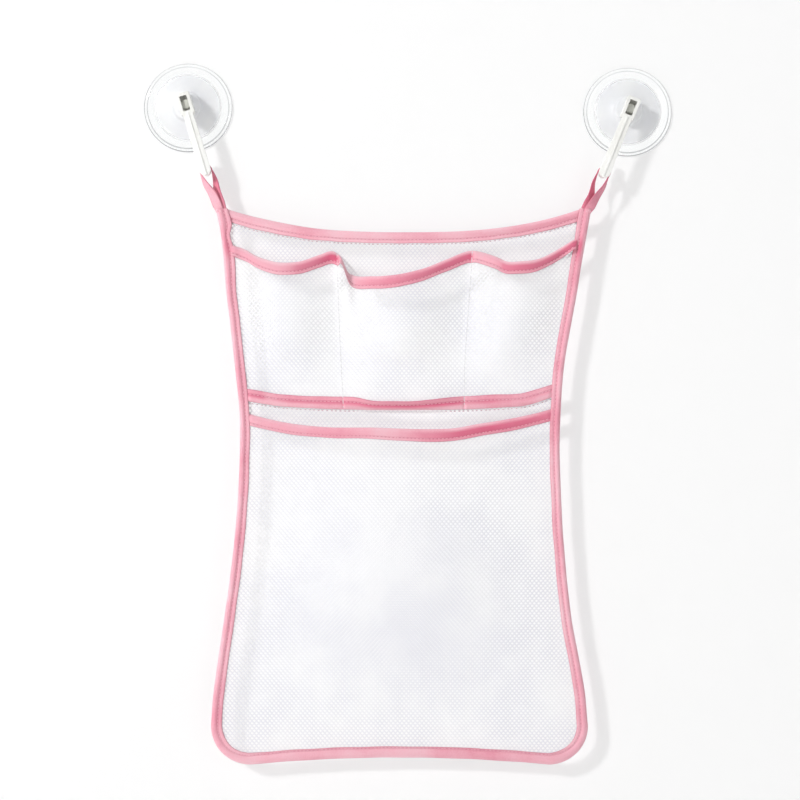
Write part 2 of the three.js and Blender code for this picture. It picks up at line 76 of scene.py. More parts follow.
def follow(shares, t):
    # smooth curve through a table of shares
    last = len(shares) - 1

    def slope(i):
        before = shares[max(i - 1, 0)]
        after = shares[min(i + 1, last)]
        return (after[1] - before[1]) / (after[0] - before[0])

    i = 0
    while i < last - 1 and t > shares[i + 1][0]:
        i += 1
    start, low = shares[i]
    end, high = shares[i + 1]
    span = end - start
    q = clamp((t - start) / span)
    leaving = q * (1 - q) * (1 - q) * slope(i) * span
    arriving = q * q * (q - 1) * slope(i + 1) * span
    return low + (high - low) * q * q * (3 - 2 * q) + leaving + arriving


def between(table, z):
    # x of a line at a height, from its points in falling order
    low, high = 0, len(table) - 1
    while high - low > 1:
        middle = (low + high) // 2
        if table[middle][1] > z:
            low = middle
        else:
            high = middle
    (x0, z0), (x1, z1) = table[low], table[high]
    return mix(x0, x1, clamp((z - z0) / (z1 - z0)) if z1 != z0 else 0)


def colour(red, green, blue):
    # a colour as a screen shows it, 0 to 255, made linear
    def linear(value):
        value /= 255
        return value / 12.92 if value <= 0.04045 else ((value + 0.055) / 1.055) ** 2.4
    return (linear(red), linear(green), linear(blue), 1)


def boxOf(node):
    low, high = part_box(node)
    return low / mm, high / mm


def jointAt(name):
    joint = next(j for j in frame["joints"] if j["name"] == name)
    return Vector(joint["pos_m"]) / mm


def linked(bm, name, material=None):
    # an object in the scene from a bmesh
    mesh = bpy.data.meshes.new(name)
    bm.to_mesh(mesh)
    bm.free()
    if material:
        mesh.materials.append(material)
    made = bpy.data.objects.new(name, mesh)
    bpy.context.collection.objects.link(made)
    return made


def finishPiece(bm, name, material, body, nodes=()):
    bmesh.ops.scale(bm, vec=(mm, mm, mm), verts=bm.verts)
    piece = linked(bm, name, material)
    faces = piece.data.polygons
    faces.foreach_set("use_smooth", [True] * len(faces))
    if nodes:
        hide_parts(*nodes)
    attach(piece, body)
    print("made", name, len(faces), "faces")
    return piece


def stripLayers(bm):
    # what the tape's material reads: along and across in millimetres, and two shares of painted shade, one at the
    # crease and edges and one along and across the tape
    return {name: bm.verts.layers.float.new(name) for name in ("along", "across", "edge", "painted_shade")}


def wrapStrip(bm, stations, sections, layers):
    # one strip of grid, wrapped round its sections and closed at both ends;
    # each section lists its (across, through) points
    long, around = len(stations) - 1, len(sections[0])
    made = bmesh.ops.create_grid(bm, x_segments=long, y_segments=around, size=0.5)["verts"]
    for vert in made:
        i = round((vert.co.x + 0.5) * long)
        k = round((vert.co.y + 0.5) * around) % around
        station = stations[i]
        a, b = sections[i][k]
        vert[layers["along"]] = station["along"]
        vert[layers["across"]] = a
        vert.co = station["at"] + station["across"] * a + station["through"] * b
    bmesh.ops.remove_doubles(bm, verts=made, dist=0.004)
    rims = [edge for edge in bm.edges if edge.is_boundary]
    bmesh.ops.holes_fill(bm, edges=rims)
    bmesh.ops.recalc_face_normals(bm, faces=bm.faces)


def resample(stations, spacing):
    # stations at equal steps along the run, each with its distance from the start
    lengths = [0.0]
    for before, after in zip(stations, stations[1:]):
        lengths.append(lengths[-1] + (after["at"] - before["at"]).length)
    steps = max(2, round(lengths[-1] / spacing))
    evened, i = [], 0
    for target in evenly(0, lengths[-1], steps):
        while i < len(lengths) - 2 and lengths[i + 1] < target:
            i += 1
        t = clamp((target - lengths[i]) / (lengths[i + 1] - lengths[i]))
        before, after = stations[i], stations[i + 1]
        evened.append({
            "at": before["at"].lerp(after["at"], t),
            "across": before["across"].lerp(after["across"], t),
            "through": before["through"].lerp(after["through"], t),
            "share": mix(before.get("share", 0), after.get("share", 0), t),
            "along": target,
        })
    return evened


# The bag's outline and surfaces, from the middle of the seams' line, in the back panel's plane

bagShape = {
    "width": 316.7, "height": 467, "cornerRadius": 33, "bottomBow": 5.9, "tapeWidth": 9.6, "topEndDrop": 1.5,
    "topSag": 18.4, "sagPower": 2.7, "mouthDepth": 57, "footDepth": 164, "footSag": 5, "mainLeftDrop": 9,
    "mainRightDrop": 4.5, "mainSag": 14.8, "pocketPlane": 1.8, "leftBulge": 13, "middleBulge": 17, "rightBulge": 13,
    "mainBulge": 16, "leftDividerShare": 0.3, "rightDividerShare": 0.7, "mouthOpenShare": 0.7, "mainOpenShare": 0.6,
    "fullestShare": 0.4, "clearance": 0.3, "levelLength": 79, "leanFade": 34, "leanSide": 0.035, "lobePower": 1.5,
    "sideSteps": 150, "cornerSteps": 24, "bottomSteps": 80, "edgeSteps": 260,
}
leftSideShares = [
    (0, 0.487), (0.06, 0.471), (0.15, 0.459), (0.28, 0.437), (0.37, 0.424),
    (0.46, 0.424), (0.6, 0.438), (0.73, 0.463), (0.865, 0.492), (0.93, 0.5),
]
rightSideShares = [
    (0, 0.509), (0.06, 0.493), (0.15, 0.471), (0.28, 0.4375), (0.37, 0.427),
    (0.46, 0.4255), (0.6, 0.4355), (0.73, 0.455), (0.865, 0.4905), (0.93, 0.5),
]
mouthShares = [
    (0, 0.55), (0.035, 0.615), (0.064, 0.705), (0.095, 0.765), (0.137, 0.809), (0.195, 0.793),
    (0.254, 0.69), (0.29, 0.632), (0.315, 0.72), (0.341, 0.965), (0.414, 1.01), (0.487, 0.988),
    (0.56, 0.904), (0.633, 0.75), (0.69, 0.635), (0.72, 0.635), (0.776, 0.722), (0.81, 0.795),
    (0.851, 0.793), (0.895, 0.765), (0.93, 0.69), (1, 0.46),
]
# How far the tapes lean forwards, in degrees: the mouth's lower edge and the foot's upper edge
mouthLeans = [
    (0, 20), (0.02, 5), (0.04, 0), (0.27, 0), (0.304, 8), (0.316, 56), (0.332, 52), (0.35, 12), (0.37, 0),
    (0.7, 0), (0.715, 12), (0.74, 12), (0.78, 10), (0.8, 0), (0.96, 0), (1, 20),
]
footLeans = [
    (0, 0), (0.3, 0), (0.32, 8), (0.35, 20), (0.4, 40), (0.44, 45), (0.56, 45), (0.6, 38), (0.65, 22),
    (0.69, 8), (0.715, 0), (1, 0),
]
# How far sewing has drawn the tapes up or down from an even curve
topRises = [(0, 1), (0.12, 0.8), (0.25, 0.2), (0.4, 0), (0.9, 0), (1, 0.8)]
footRises = [(0, 1.8), (0.05, 0.8), (0.1, 0), (0.9, 0), (0.955, 1.8), (1, 4.8)]
mainRises = [(0, 0), (0.25, 0.8), (0.4, 2), (0.5, 0.8), (0.6, -0.3), (0.68, -0.6), (0.78, 1), (0.9, 0.6), (1, -0.6)]

backLow, backHigh = boxOf("back_panel")
leftTack, rightTack = boxOf("left_corner_bartack"), boxOf("right_corner_bartack")
tapeLow, tapeHigh = boxOf("perimeter_binding")
bagHeight, tapeWidth, pocketPlane = (bagShape[name] for name in ("height", "tapeWidth", "pocketPlane"))
halfWidth = bagShape["width"] / 2
flatHalf = halfWidth - bagShape["cornerRadius"]
bagOrigin = Vector((
    tapeLow.x + halfWidth,
    (backLow.y + backHigh.y) / 2,
    tapeHigh.z + bagShape["clearance"],
))
straightEnd = bagHeight - bagShape["cornerRadius"]
band = tapeWidth + bagShape["clearance"]


def bagPoint(x, forward, z):
    return bagOrigin + Vector((x, -forward, z))


def bottomRise(x):
    share = x / flatHalf
    return bagShape["bottomBow"] * max(0, 1 - share * share)


def sideX(z, side):
    shares = leftSideShares if side < 0 else rightSideShares
    return side * bagShape["width"] * follow(shares, -z / bagHeight)


def outlinePoints():
    radius, run = bagShape["cornerRadius"], flatHalf
    depths = evenly(bagShape["clearance"], straightEnd, bagShape["sideSteps"])
    left = [(sideX(-d, -1), -d) for d in depths]
    right = [(sideX(-d, 1), -d) for d in reversed(depths)]

    def corner(middle, start):
        angles = evenly(start, start + math.pi / 2, bagShape["cornerSteps"])[1:]
        return [(middle + radius * math.cos(a), -straightEnd + radius * math.sin(a)) for a in angles]

    bottom = [(x, -bagHeight + bottomRise(x)) for x in evenly(-run, run, bagShape["bottomSteps"])[1:]]
    return left + corner(-run, math.pi) + bottom + corner(run, math.pi * 1.5) + right[1:]


def outlineStations():
    points = outlinePoints()
    last = len(points) - 1
    stations = []
    for i, (x, z) in enumerate(points):
        x0, z0 = points[max(i - 1, 0)]
        x1, z1 = points[min(i + 1, last)]
        inwards = Vector((z0 - z1, 0, x1 - x0)).normalized()
        level = Vector((-math.copysign(1, x), 0, 0))
        inwards = inwards.lerp(level, 1 - ease(-z / bagShape["levelLength"])).normalized()
        stations.append({"at": Vector((x, 0, z)), "across": inwards, "through": forwards, "share": i / last})
    return stations


outline = outlineStations()
lowest = next(i for i, station in enumerate(outline) if station["at"].x >= 0)


def lipLine(half):
    lips = [station["at"] + station["across"] * tapeWidth for station in half]
    line = [(lips[0].x, lips[0].z)]
    for lip in lips[1:]:
        if lip.z < line[-1][1]:
            line.append((lip.x, lip.z))
    return line


leftLip = lipLine(outline[:lowest])
rightLip = lipLine(outline[:lowest - 1:-1])


def acrossAt(u, z):
    return mix(between(leftLip, z), between(rightLip, z), u)


def shareAt(x, z):
    left, right = between(leftLip, z), between(rightLip, z)
    return (x - left) / (right - left)


def sagging(u):
    return 1 - abs(2 * clamp(u) - 1) ** bagShape["sagPower"]


def topEdge(u):
    return -bagShape["topEndDrop"] - bagShape["topSag"] * sagging(u) + follow(topRises, u)


def upperMouth(u):
    return -bagShape["mouthDepth"] * follow(mouthShares, u)


def upperFoot(u):
    return -bagShape["footDepth"] - bagShape["footSag"] * sagging(u) + follow(footRises, u)


def mainMouth(u):
    drop = mix(bagShape["mainLeftDrop"], bagShape["mainRightDrop"], u)
    return -bagShape["footDepth"] - drop - bagShape["mainSag"] * sagging(u) + follow(mainRises, u)


def bottomLip(u):
    x = (2 * u - 1) * flatHalf
    return -bagHeight + tapeWidth + bottomRise(x)


def fullness(share, openShare):
    opening = mix(openShare, 1, ease(share / bagShape["fullestShare"]))
    spent = (share - bagShape["fullestShare"]) / (1 - bagShape["fullestShare"])
    return opening * (1 - ease(spent))


def lobe(u, start, end, depth):
    share = (u - start) / (end - start)
    return depth * math.sin(math.pi * share) ** bagShape["lobePower"] if 0 < share < 1 else 0


def upperBulge(u, z):
    top, foot = upperMouth(u) - band, upperFoot(u) + band
    share = clamp((top - z) / (top - foot))
    left, right = bagShape["leftDividerShare"], bagShape["rightDividerShare"]
    across = (
        lobe(u, 0, left, bagShape["leftBulge"]) + lobe(u, left, right, bagShape["middleBulge"])
        + lobe(u, right, 1, bagShape["rightBulge"])
    )
    return across * fullness(share, bagShape["mouthOpenShare"])


def mainBulge(u, z):
    top, foot = mainMouth(u) - band, bottomLip(u)
    share = clamp((top - z) / (top - foot))
    return lobe(u, 0, 1, bagShape["mainBulge"]) * fullness(share, bagShape["mainOpenShare"])


def leanAt(leans, u):
    return math.radians(max(0, follow(leans, clamp(u))))


def leanForward(lean, depth):
    # how far a leaning tape carries the net forwards, at a depth from the tape's fold
    reach = tapeWidth * math.cos(lean)
    carried = tapeWidth * math.sin(lean) * clamp(depth / reach)
    return carried * (1 - ease((depth - reach) / bagShape["leanFade"]))


def backForward(x, z):
    return 0


def upperForward(x, z):
    u = shareAt(x, z)
    leaning = leanForward(leanAt(mouthLeans, u), upperMouth(u) - z)
    leaning += leanForward(leanAt(footLeans, u), z - upperFoot(u))
    return pocketPlane + upperBulge(u, z) + leaning * ease(min(u, 1 - u) / bagShape["leanSide"])


def mainForward(x, z):
    return pocketPlane + mainBulge(shareAt(x, z), z)


def insideOutline(x, z, margin):
    if z < -straightEnd:
        if z < -bagHeight + bottomRise(x) + margin:
            return False
        out = abs(x) - flatHalf
        return out < 0 or math.hypot(out, z + straightEnd) < bagShape["cornerRadius"] - margin
    return sideX(z, -1) + margin < x < sideX(z, 1) - margin


# Materials: each look gives its noises as scale and detail, and its bump's depth in metres

class Nodes:
    # short calls for the nodes of a material or of the world
    def __init__(self, name, kind=bpy.data.materials):
        self.owner = kind.new(name)
        self.owner.use_nodes = True
        self.tree = self.owner.node_tree
        self.shader = self.tree.nodes.get("Principled BSDF") or self.tree.nodes["Background"]

    def add(self, kind, **settings):
        node = self.tree.nodes.new(kind)
        for key, value in settings.items():
            setattr(node, key, value)
        return node

    def link(self, start, end):
        self.tree.links.new(start, end)

    def attribute(self, name):
        return self.add("ShaderNodeAttribute", attribute_name=name).outputs["Fac"]

    def math(self, operation, *values):
        node = self.add("ShaderNodeMath", operation=operation)
        for socket, value in zip(node.inputs, values):
            if isinstance(value, (int, float)):
                socket.default_value = value
            else:
                self.link(value, socket)
        return node.outputs[0]

    def scaled(self, value, factor, offset=0):
        value = self.math("MULTIPLY", value, factor)
        return self.math("ADD", value, offset) if offset else value

    def clamped(self, value):
        return self.math("MINIMUM", self.math("MAXIMUM", value, 0), 1)

    def noise(self, scale, detail):
        node = self.add("ShaderNodeTexNoise")
        node.inputs["Scale"].default_value = scale
        node.inputs["Detail"].default_value = detail
        self.link(self.add("ShaderNodeTexCoord").outputs["Object"], node.inputs["Vector"])
        return node.outputs["Fac"]

    def ramp(self, value, *stops):
        node = self.add("ShaderNodeValToRGB")
        while len(node.color_ramp.elements) < len(stops):
            node.color_ramp.elements.new(0.5)
        for element, (position, shade) in zip(node.color_ramp.elements, stops):
            element.position = position
            element.color = shade
        self.link(value, node.inputs["Fac"])
        return node.outputs["Color"]

    def mixed(self, share, first, second):
        # from the first colour to the second by a share
        node = self.add("ShaderNodeMix", data_type="RGBA", clamp_factor=True)
        for socket, value in zip((node.inputs[0], node.inputs[6], node.inputs[7]), (share, first, second)):
            if isinstance(value, tuple):
                socket.default_value = value
            else:
                self.link(value, socket)
        return node.outputs[2]

    def blended(self, share, first, second):
        # the same for whole shaders
        node = self.add("ShaderNodeMixShader")
        for socket, value in zip(node.inputs, (share, first, second)):
            self.link(value, socket)
        return node.outputs[0]

    def into(self, socket, value):
        self.link(value, self.shader.inputs[socket])

    def bump(self, height, strength, distance):
        node = self.add("ShaderNodeBump")
        node.inputs["Strength"].default_value = strength
        node.inputs["Distance"].default_value = distance
        self.link(height, node.inputs["Height"])
        self.into("Normal", node.outputs["Normal"])

    def set(self, **values):
        for key, value in values.items():
            self.shader.inputs[key.replace("_", " ")].default_value = value


def tapeMaterial():
    look = {
        "light": colour(255, 212, 221), "middle": colour(253, 193, 206), "deep": colour(242, 163, 181),
        # painted shade: the rose colour along the tape, the edge colour in its crease and at its edges
        "shadeRose": colour(228, 106, 138), "edge": colour(204, 100, 128), "edgeShadeDepth": 0.6,
        "patches": (26, 5), "patchShare": 0.7, "yarnPitch": 0.5, "yarnShare": 0.04, "fuzz": (900, 3),
        "fuzzShare": 0.22, "roughness": 0.68, "roughSpread": 0.2, "bump": 0.6, "bumpDepth": 0.00016,
    }
    n = Nodes("PinkTape")
    turns = math.tau / look["yarnPitch"]
    along = n.math("SINE", n.scaled(n.attribute("along"), turns))
    across = n.math("SINE", n.scaled(n.attribute("across"), turns))
    weave = n.math("MULTIPLY", along, across)
    patches, fuzz = n.noise(*look["patches"]), n.noise(*look["fuzz"])
    shade = n.math("ADD", n.scaled(patches, look["patchShare"]), n.scaled(weave, look["yarnShare"]))
    shade = n.math("ADD", shade, n.scaled(fuzz, look["fuzzShare"]))
    base = n.ramp(shade, (0.3, look["deep"]), (0.46, look["middle"]), (0.62, look["light"]))
    # painted shade: the shade along the tape and the shade in its crease and at its edges are painted, and both come
    # and go with the patches
    shadeAmount = n.math("MULTIPLY", n.attribute("painted_shade"), n.scaled(patches, 0.6, 0.7))
    edgeShade = n.math("MULTIPLY", n.attribute("edge"), n.scaled(patches, 0.8, 0.6))
    shadedBase = n.mixed(shadeAmount, base, look["shadeRose"])
    n.into("Base Color", n.mixed(n.scaled(edgeShade, look["edgeShadeDepth"]), shadedBase, look["edge"]))
    n.into("Roughness", n.scaled(fuzz, look["roughSpread"], look["roughness"]))
    n.bump(n.math("ADD", n.scaled(weave, 0.5), n.scaled(fuzz, 0.5)), look["bump"], look["bumpDepth"])
    n.set(Sheen_Weight=0.2, Sheen_Roughness=0.5, Specular_IOR_Level=0.25)
    return n.owner


def grainyMaterial(name, light, deep, look, **finish):
    # two shades in patches, and a fine grain in the gloss and the surface
    n = Nodes(name)
    low, high = look["stops"]
    n.into("Base Color", n.ramp(n.noise(*look["patches"]), (low, deep), (high, light)))
    grain = n.noise(*look["grain"])
    n.into("Roughness", n.scaled(grain, look["roughSpread"], look["roughness"]))
    n.bump(grain, look["bump"], look["bumpDepth"])
    n.set(**finish)
    return n.owner


netLook = {
    "patches": (22, 4), "stops": (0.35, 0.6), "grain": (1500, 2), "roughness": 0.5, "roughSpread": 0.25,
    "bump": 0.4, "bumpDepth": 0.00008,
}
threadLook = {
    "patches": (1800, 2), "stops": (0.35, 0.65), "grain": (1800, 2), "roughness": 0.45, "roughSpread": 0.3,
    "bump": 0.5, "bumpDepth": 0.00006,
}
plasticLook = {
    "patches": (60, 3), "stops": (0.35, 0.6), "grain": (260, 4), "roughness": 0.22, "roughSpread": 0.18,
    "bump": 0.12, "bumpDepth": 0.00006,
}


def threadMaterial(name, light, deep):
    return grainyMaterial(name, light, deep, threadLook, Sheen_Weight=0.15)


def cupMaterial():
    # clear round a frosted disc, with the button painted grey as the shade inside the hook's head, and dark lines
    # painted at the ring and rim as shade; radii in millimetres from the cup's axis
    look = {
        "clear": colour(253, 254, 254), "line": colour(122, 126, 130), "frosted": colour(246, 247, 250),
        "discRadius": 27.5, "discEdge": 1.4, "ringRadius": 34.5, "ringDepth": 0.8, "rimRadius": 37.3,
        "lineWidth": 0.6, "shadedButton": colour(222, 223, 214), "buttonRadius": 4.6, "buttonEdge": 0.3,
        "cloud": (45, 3), "ripple": (120, 3), "frostedRoughness": 0.36, "smoother": 0.31, "frostedThrough": 0.4,
        "clearer": 0.55, "buttonLess": 0.3, "bump": 0.08, "bumpDepth": 0.0002,
    }
    n = Nodes("ClearVinyl")
    radius = n.attribute("radius")
    cloud = n.noise(*look["cloud"])

    def line(at, depth):
        away = n.math("DIVIDE", n.math("ABSOLUTE", n.math("SUBTRACT", radius, at)), look["lineWidth"])
        return n.scaled(n.math("MAXIMUM", n.math("SUBTRACT", 1, away), 0), depth)

    start = look["discRadius"] - look["discEdge"]
    outside = n.clamped(n.math("DIVIDE", n.math("SUBTRACT", radius, start), 2 * look["discEdge"]))
    # painted shade: dark lines at the ring and at the rim stand in for the shade the clear vinyl refracts there,
    # deeper towards the bottom and in the cloud's patches
    rings = n.math("ADD", line(look["ringRadius"], look["ringDepth"]), line(look["rimRadius"], 1))
    rings = n.math("MULTIPLY", rings, n.math("ADD", n.scaled(cloud, 0.5), n.attribute("low")))
    # painted shade: the button and neck, in shade inside the hook's head, are painted grey
    shadedButton = n.clamped(n.math("DIVIDE", n.math("SUBTRACT", look["buttonRadius"], radius), look["buttonEdge"]))
    base = n.mixed(outside, n.ramp(cloud, (0.3, look["frosted"]), (0.7, look["clear"])), look["clear"])
    n.into("Base Color", n.mixed(rings, n.mixed(shadedButton, base, look["shadedButton"]), look["line"]))
    n.into("Roughness", n.math("SUBTRACT", look["frostedRoughness"], n.scaled(outside, look["smoother"])))
    through = n.scaled(outside, look["clearer"], look["frostedThrough"])
    n.into("Transmission Weight", n.math("SUBTRACT", through, n.scaled(shadedButton, look["buttonLess"])))
    n.bump(n.noise(*look["ripple"]), look["bump"], look["bumpDepth"])
    n.set(IOR=1.4)
    return n.owner


def stageMaterial(name, shade, cameraWhite, seeThroughBack=False):
    # a pale surface that shows the object's shadow but otherwise reads as white
    n = Nodes(name)
    n.set(Base_Color=shade, Roughness=0.9, Specular_IOR_Level=0.1)
    white = n.add("ShaderNodeEmission").outputs[0]
    path = n.add("ShaderNodeLightPath").outputs
    seen = n.math("MAXIMUM", path["Is Camera Ray"], path["Is Glossy Ray"])
    seen = n.math("MAXIMUM", n.scaled(seen, cameraWhite), path["Is Transmission Ray"])
    surface = n.blended(seen, n.shader.outputs[0], white)
    if seeThroughBack:
        back = n.add("ShaderNodeNewGeometry").outputs["Backfacing"]
        surface = n.blended(back, surface, n.add("ShaderNodeBsdfTransparent").outputs[0])
    n.link(surface, n.tree.nodes["Material Output"].inputs["Surface"])
    return n.owner


pinkTape = tapeMaterial()
whiteNet = grainyMaterial(
    "WhiteNet", colour(244, 244, 246), colour(235, 235, 240), netLook, Sheen_Weight=0.2, Specular_IOR_Level=0.35,
)
pinkThread = threadMaterial("PinkThread", colour(255, 214, 222), colour(244, 178, 193))
# a darker copy of the pink thread: painted shade for the stitches just past the tapes' edges
shadedThread = threadMaterial("ShadedThread", colour(222, 188, 198), colour(180, 142, 154))
whiteThread = threadMaterial("WhiteThread", colour(250, 250, 250), colour(222, 222, 226))
whitePlastic = grainyMaterial(
    "WhitePlastic", colour(250, 250, 247), colour(240, 240, 235), plasticLook,
    Specular_IOR_Level=0.5, Coat_Weight=0.15, Coat_Roughness=0.12,
)
clearVinyl = cupMaterial()
print("materials ready")


# Camera, stage and lights

cameraSetup = {"distance": 1500, "centreX": -6.67, "centreZ": -246.4, "frameWidth": 680, "sensor": 36, "clipEnd": 20}


def addCamera():
    data = bpy.data.cameras.new("Camera")
    data.sensor_width = cameraSetup["sensor"]
    data.lens = cameraSetup["sensor"] * cameraSetup["distance"] / cameraSetup["frameWidth"]
    data.clip_end = cameraSetup["clipEnd"]
    camera = bpy.data.objects.new("Camera", data)
    camera.location = Vector((cameraSetup["centreX"], -cameraSetup["distance"], cameraSetup["centreZ"])) * mm
    camera.rotation_euler = (math.pi / 2, 0, 0)
    bpy.context.collection.objects.link(camera)
    bpy.context.scene.camera = camera


# The stage and the lamps are in metres
stageShape = {
    "wallGap": 0.0006, "reach": 3.0, "floorZ": -0.602, "wall": colour(252, 252, 252), "wallWhite": 0.55,
    "floor": colour(244, 244, 242), "floorWhite": 0.5, "sky": colour(250, 250, 252), "skyLevel": 0.34,
}
lamps = {
    "KeyLight": {"place": (-2.4, -2.48, 1.24), "aim": (0, 0, -0.25), "size": 0.4, "power": 83},
    "FillLight": {"place": (1.6, -2.4, 0.3), "aim": (0, 0, -0.3), "size": 1.6, "power": 6},
}


def addStage():
    reach, floorZ = stageShape["reach"], stageShape["floorZ"]
    wall, floor = bmesh.new(), bmesh.new()
    for bm in (wall, floor):
        bmesh.ops.create_grid(bm, x_segments=1, y_segments=1, size=reach)
    bmesh.ops.rotate(wall, verts=wall.verts, matrix=Matrix.Rotation(math.pi / 2, 3, "X"))
    bmesh.ops.translate(wall, verts=wall.verts, vec=(0, stageShape["wallGap"], reach + floorZ))
    bmesh.ops.translate(floor, verts=floor.verts, vec=(0, 0, floorZ))
    wallPaint = stageMaterial("WallPaint", stageShape["wall"], stageShape["wallWhite"], seeThroughBack=True)
    paleFloor = stageMaterial("PaleFloor", stageShape["floor"], stageShape["floorWhite"])
    linked(wall, "Wall", wallPaint)
    linked(floor, "Floor", paleFloor)


def addWorld():
    # white to the camera and in gloss and clear vinyl, but a low light on the object
    n = Nodes("Studio", bpy.data.worlds)
    n.set(Color=stageShape["sky"])
    path = n.add("ShaderNodeLightPath").outputs
    seen = n.math("MAXIMUM", path["Is Glossy Ray"], path["Is Transmission Ray"])
    seen = n.math("MAXIMUM", path["Is Camera Ray"], seen)
    level = n.add("ShaderNodeMapRange")
    level.inputs["To Min"].default_value = stageShape["skyLevel"]
    n.link(seen, level.inputs["Value"])
    n.into("Strength", level.outputs["Result"])
    bpy.context.scene.world = n.owner


def addLamp(name, lamp):
    data = bpy.data.lights.new(name, "AREA")
    data.shape = "DISK"
    data.size = lamp["size"]
    data.energy = lamp["power"]
    light = bpy.data.objects.new(name, data)
    light.location = lamp["place"]
    light.rotation_euler = (Vector(lamp["aim"]) - Vector(lamp["place"])).to_track_quat("-Z", "Y").to_euler()
    bpy.context.collection.objects.link(light)


addCamera()
addStage()
addWorld()
for name, lamp in lamps.items():
    addLamp(name, lamp)
bpy.context.scene.view_settings.view_transform = "Standard"
print("stage ready")


# Net panels

netShape = {
    "cellWidth": 3.7, "rowHeight": 2.1, "zigzag": 0.8, "strand": 0.9, "roof": 0.14, "foldMargin": 2.2,
    "cover": 0.44, "reach": 170, "sizeSteps": 40, "sizeMargin": 4,
}


def netSheet(topAt, footAt, forwardAt, top, foot):
    # staggered six-sided cells, laid flat, cut to shape and draped, then inset to leave the strands
    margin, height, reach = netShape["foldMargin"], netShape["rowHeight"], netShape["reach"]
    half = netShape["cellWidth"] / 2
    columns = 2 * math.ceil(2 * reach / netShape["cellWidth"])
    rows = math.ceil((top - foot) / height)

    def keep(x, z):
        if not insideOutline(x, z, margin):
            return False
        u = shareAt(x, z)
        return z < topAt(u) - margin and (footAt is None or z > footAt(u) + margin)

    bm = bmesh.new()
    bmesh.ops.create_grid(bm, x_segments=columns, y_segments=rows, size=0.5)
    for vert in bm.verts:
        vert.co.x = round((vert.co.x + 0.5) * columns)
        vert.co.y = round((vert.co.y + 0.5) * rows)
    uprights = [
        edge for edge in bm.edges
        if edge.verts[0].co.x == edge.verts[1].co.x
        and (edge.verts[0].co.x + min(edge.verts[0].co.y, edge.verts[1].co.y)) % 2 == 1
        and not edge.is_boundary
    ]
    bmesh.ops.dissolve_edges(bm, edges=uprights, use_verts=False)
    for vert in bm.verts:
        column, row = vert.co.x, vert.co.y
        peak = netShape["zigzag"] if (column + row) % 2 == 0 else -netShape["zigzag"]
        vert.co = (-reach + column * half, 0, foot + row * height + peak)
    outside = [face for face in bm.faces if not all(keep(v.co.x, v.co.z) for v in face.verts)]
    bmesh.ops.delete(bm, geom=outside, context="FACES")
    for vert in bm.verts:
        vert.co = bagPoint(vert.co.x, forwardAt(vert.co.x, vert.co.z), vert.co.z)
    bm.normal_update()
    cells = list(bm.faces)
    bmesh.ops.inset_individual(
        bm, faces=cells, thickness=netShape["strand"] / 2, depth=-netShape["roof"], use_even_offset=True,
    )
    bmesh.ops.delete(bm, geom=cells, context="FACES_ONLY")
    return bm


# Each panel's top and foot as curves, how far forwards it lies, and the top and foot of its grid
panels = {
    "back": (topEdge, None, backForward, 0, -bagHeight),
    "upper_pocket": (upperMouth, upperFoot, upperForward, upperMouth(1), upperFoot(0.5)),
    "main_pocket": (mainMouth, None, mainForward, mainMouth(1), -bagHeight),
}
nets = {}
for name, shape in panels.items():
    nets[name] = finishPiece(netSheet(*shape), name + "_net", whiteNet, "bag", [name + "_panel"])
    nets[name].visible_shadow = False  # its shadow on the wall would grey the bag
print("nets ready")


# Bindings and their stitches

tapeShape = {
    "spacing": 0.8, "wall": 0.55, "puff": 1.15, "dip": 0.25, "stitchPitch": 3.1, "lip": 0.3,
    "endSqueeze": 0.3, "endLength": 5, "tuck": 3, "creaseWidth": 0.8, "rimWidth": 0.6, "foldWidth": 0.5,
    "pinch": 0.45, "pinchLength": 2.2, "waver": 0.22, "swell": 0.05, "shadeFade": 0.3, "dipWave": 0.3,
    "threadRise": 0.06,
}


def tapeSection(back, front, station, squeeze):
    # a folded tape: rolled from its fold to the stitches that draw it down, then a flat lip
    width, crease, wall = station["width"], station["crease"], tapeShape["wall"] / station["width"]
    middle = (back + front) / 2
    wave = tapeShape["dipWave"]
    dip = tapeShape["dip"] * (1 - wave + wave * math.cos(math.tau * station["along"] / tapeShape["stitchPitch"]))
    puff, lip = tapeShape["puff"], tapeShape["lip"]
    inside, leaf = front - tapeShape["wall"], station["backShare"]
    points = [
        (leaf, back), (0.55, back - 0.25 * puff), (0.16, back), (0.04, mix(back, middle, 0.4)), (0, middle),
        (0.03, mix(front, middle, 0.35)), (0.14 * crease, front + 0.1 * puff), (0.3 * crease, front + 0.7 * puff),
        (0.48 * crease, front + puff), (0.7 * crease, front + 0.9 * puff), (0.87 * crease, front + 0.45 * puff),
        (crease, front - dip), (mix(crease, 1, 0.3), front + lip), (mix(crease, 1, 0.8), front + 0.8 * lip),
        (0.99, front - 0.1), (1, inside), (0.5, inside), (wall, middle), (0.5, back + tapeShape["wall"]),
        (leaf, back + tapeShape["wall"]),
    ]
    return [(a * width, middle + (b - middle) * squeeze) for a, b in points]


def edgeRun(heightAt, forwardAt, downwards=1, leans=((0, 0), (1, 0))):
    stations = []
    for u in evenly(0, 1, bagShape["edgeSteps"]):
        z = heightAt(u)
        lower = z - downwards * tapeWidth
        x = acrossAt(u, z)
        across = Vector((acrossAt(u, lower) - x, 0, lower - z)) / tapeWidth
        lean = leanAt(leans, u)
        stations.append({
            "at": Vector((x, -forwardAt(u, z), z)), "share": u,
            "across": across * math.cos(lean) + forwards * math.sin(lean),
            "through": forwards * math.cos(lean) - across * math.sin(lean),
        })

    def beyond(end, before):
        # one more station, under the side's tape
        return dict(end, at=end["at"] + (end["at"] - before["at"]).normalized() * tapeShape["tuck"])

    return [beyond(stations[0], stations[1])] + stations + [beyond(stations[-1], stations[-2])]


def inBag(stations):
    return [dict(station, at=bagOrigin + station["at"]) for station in stations]


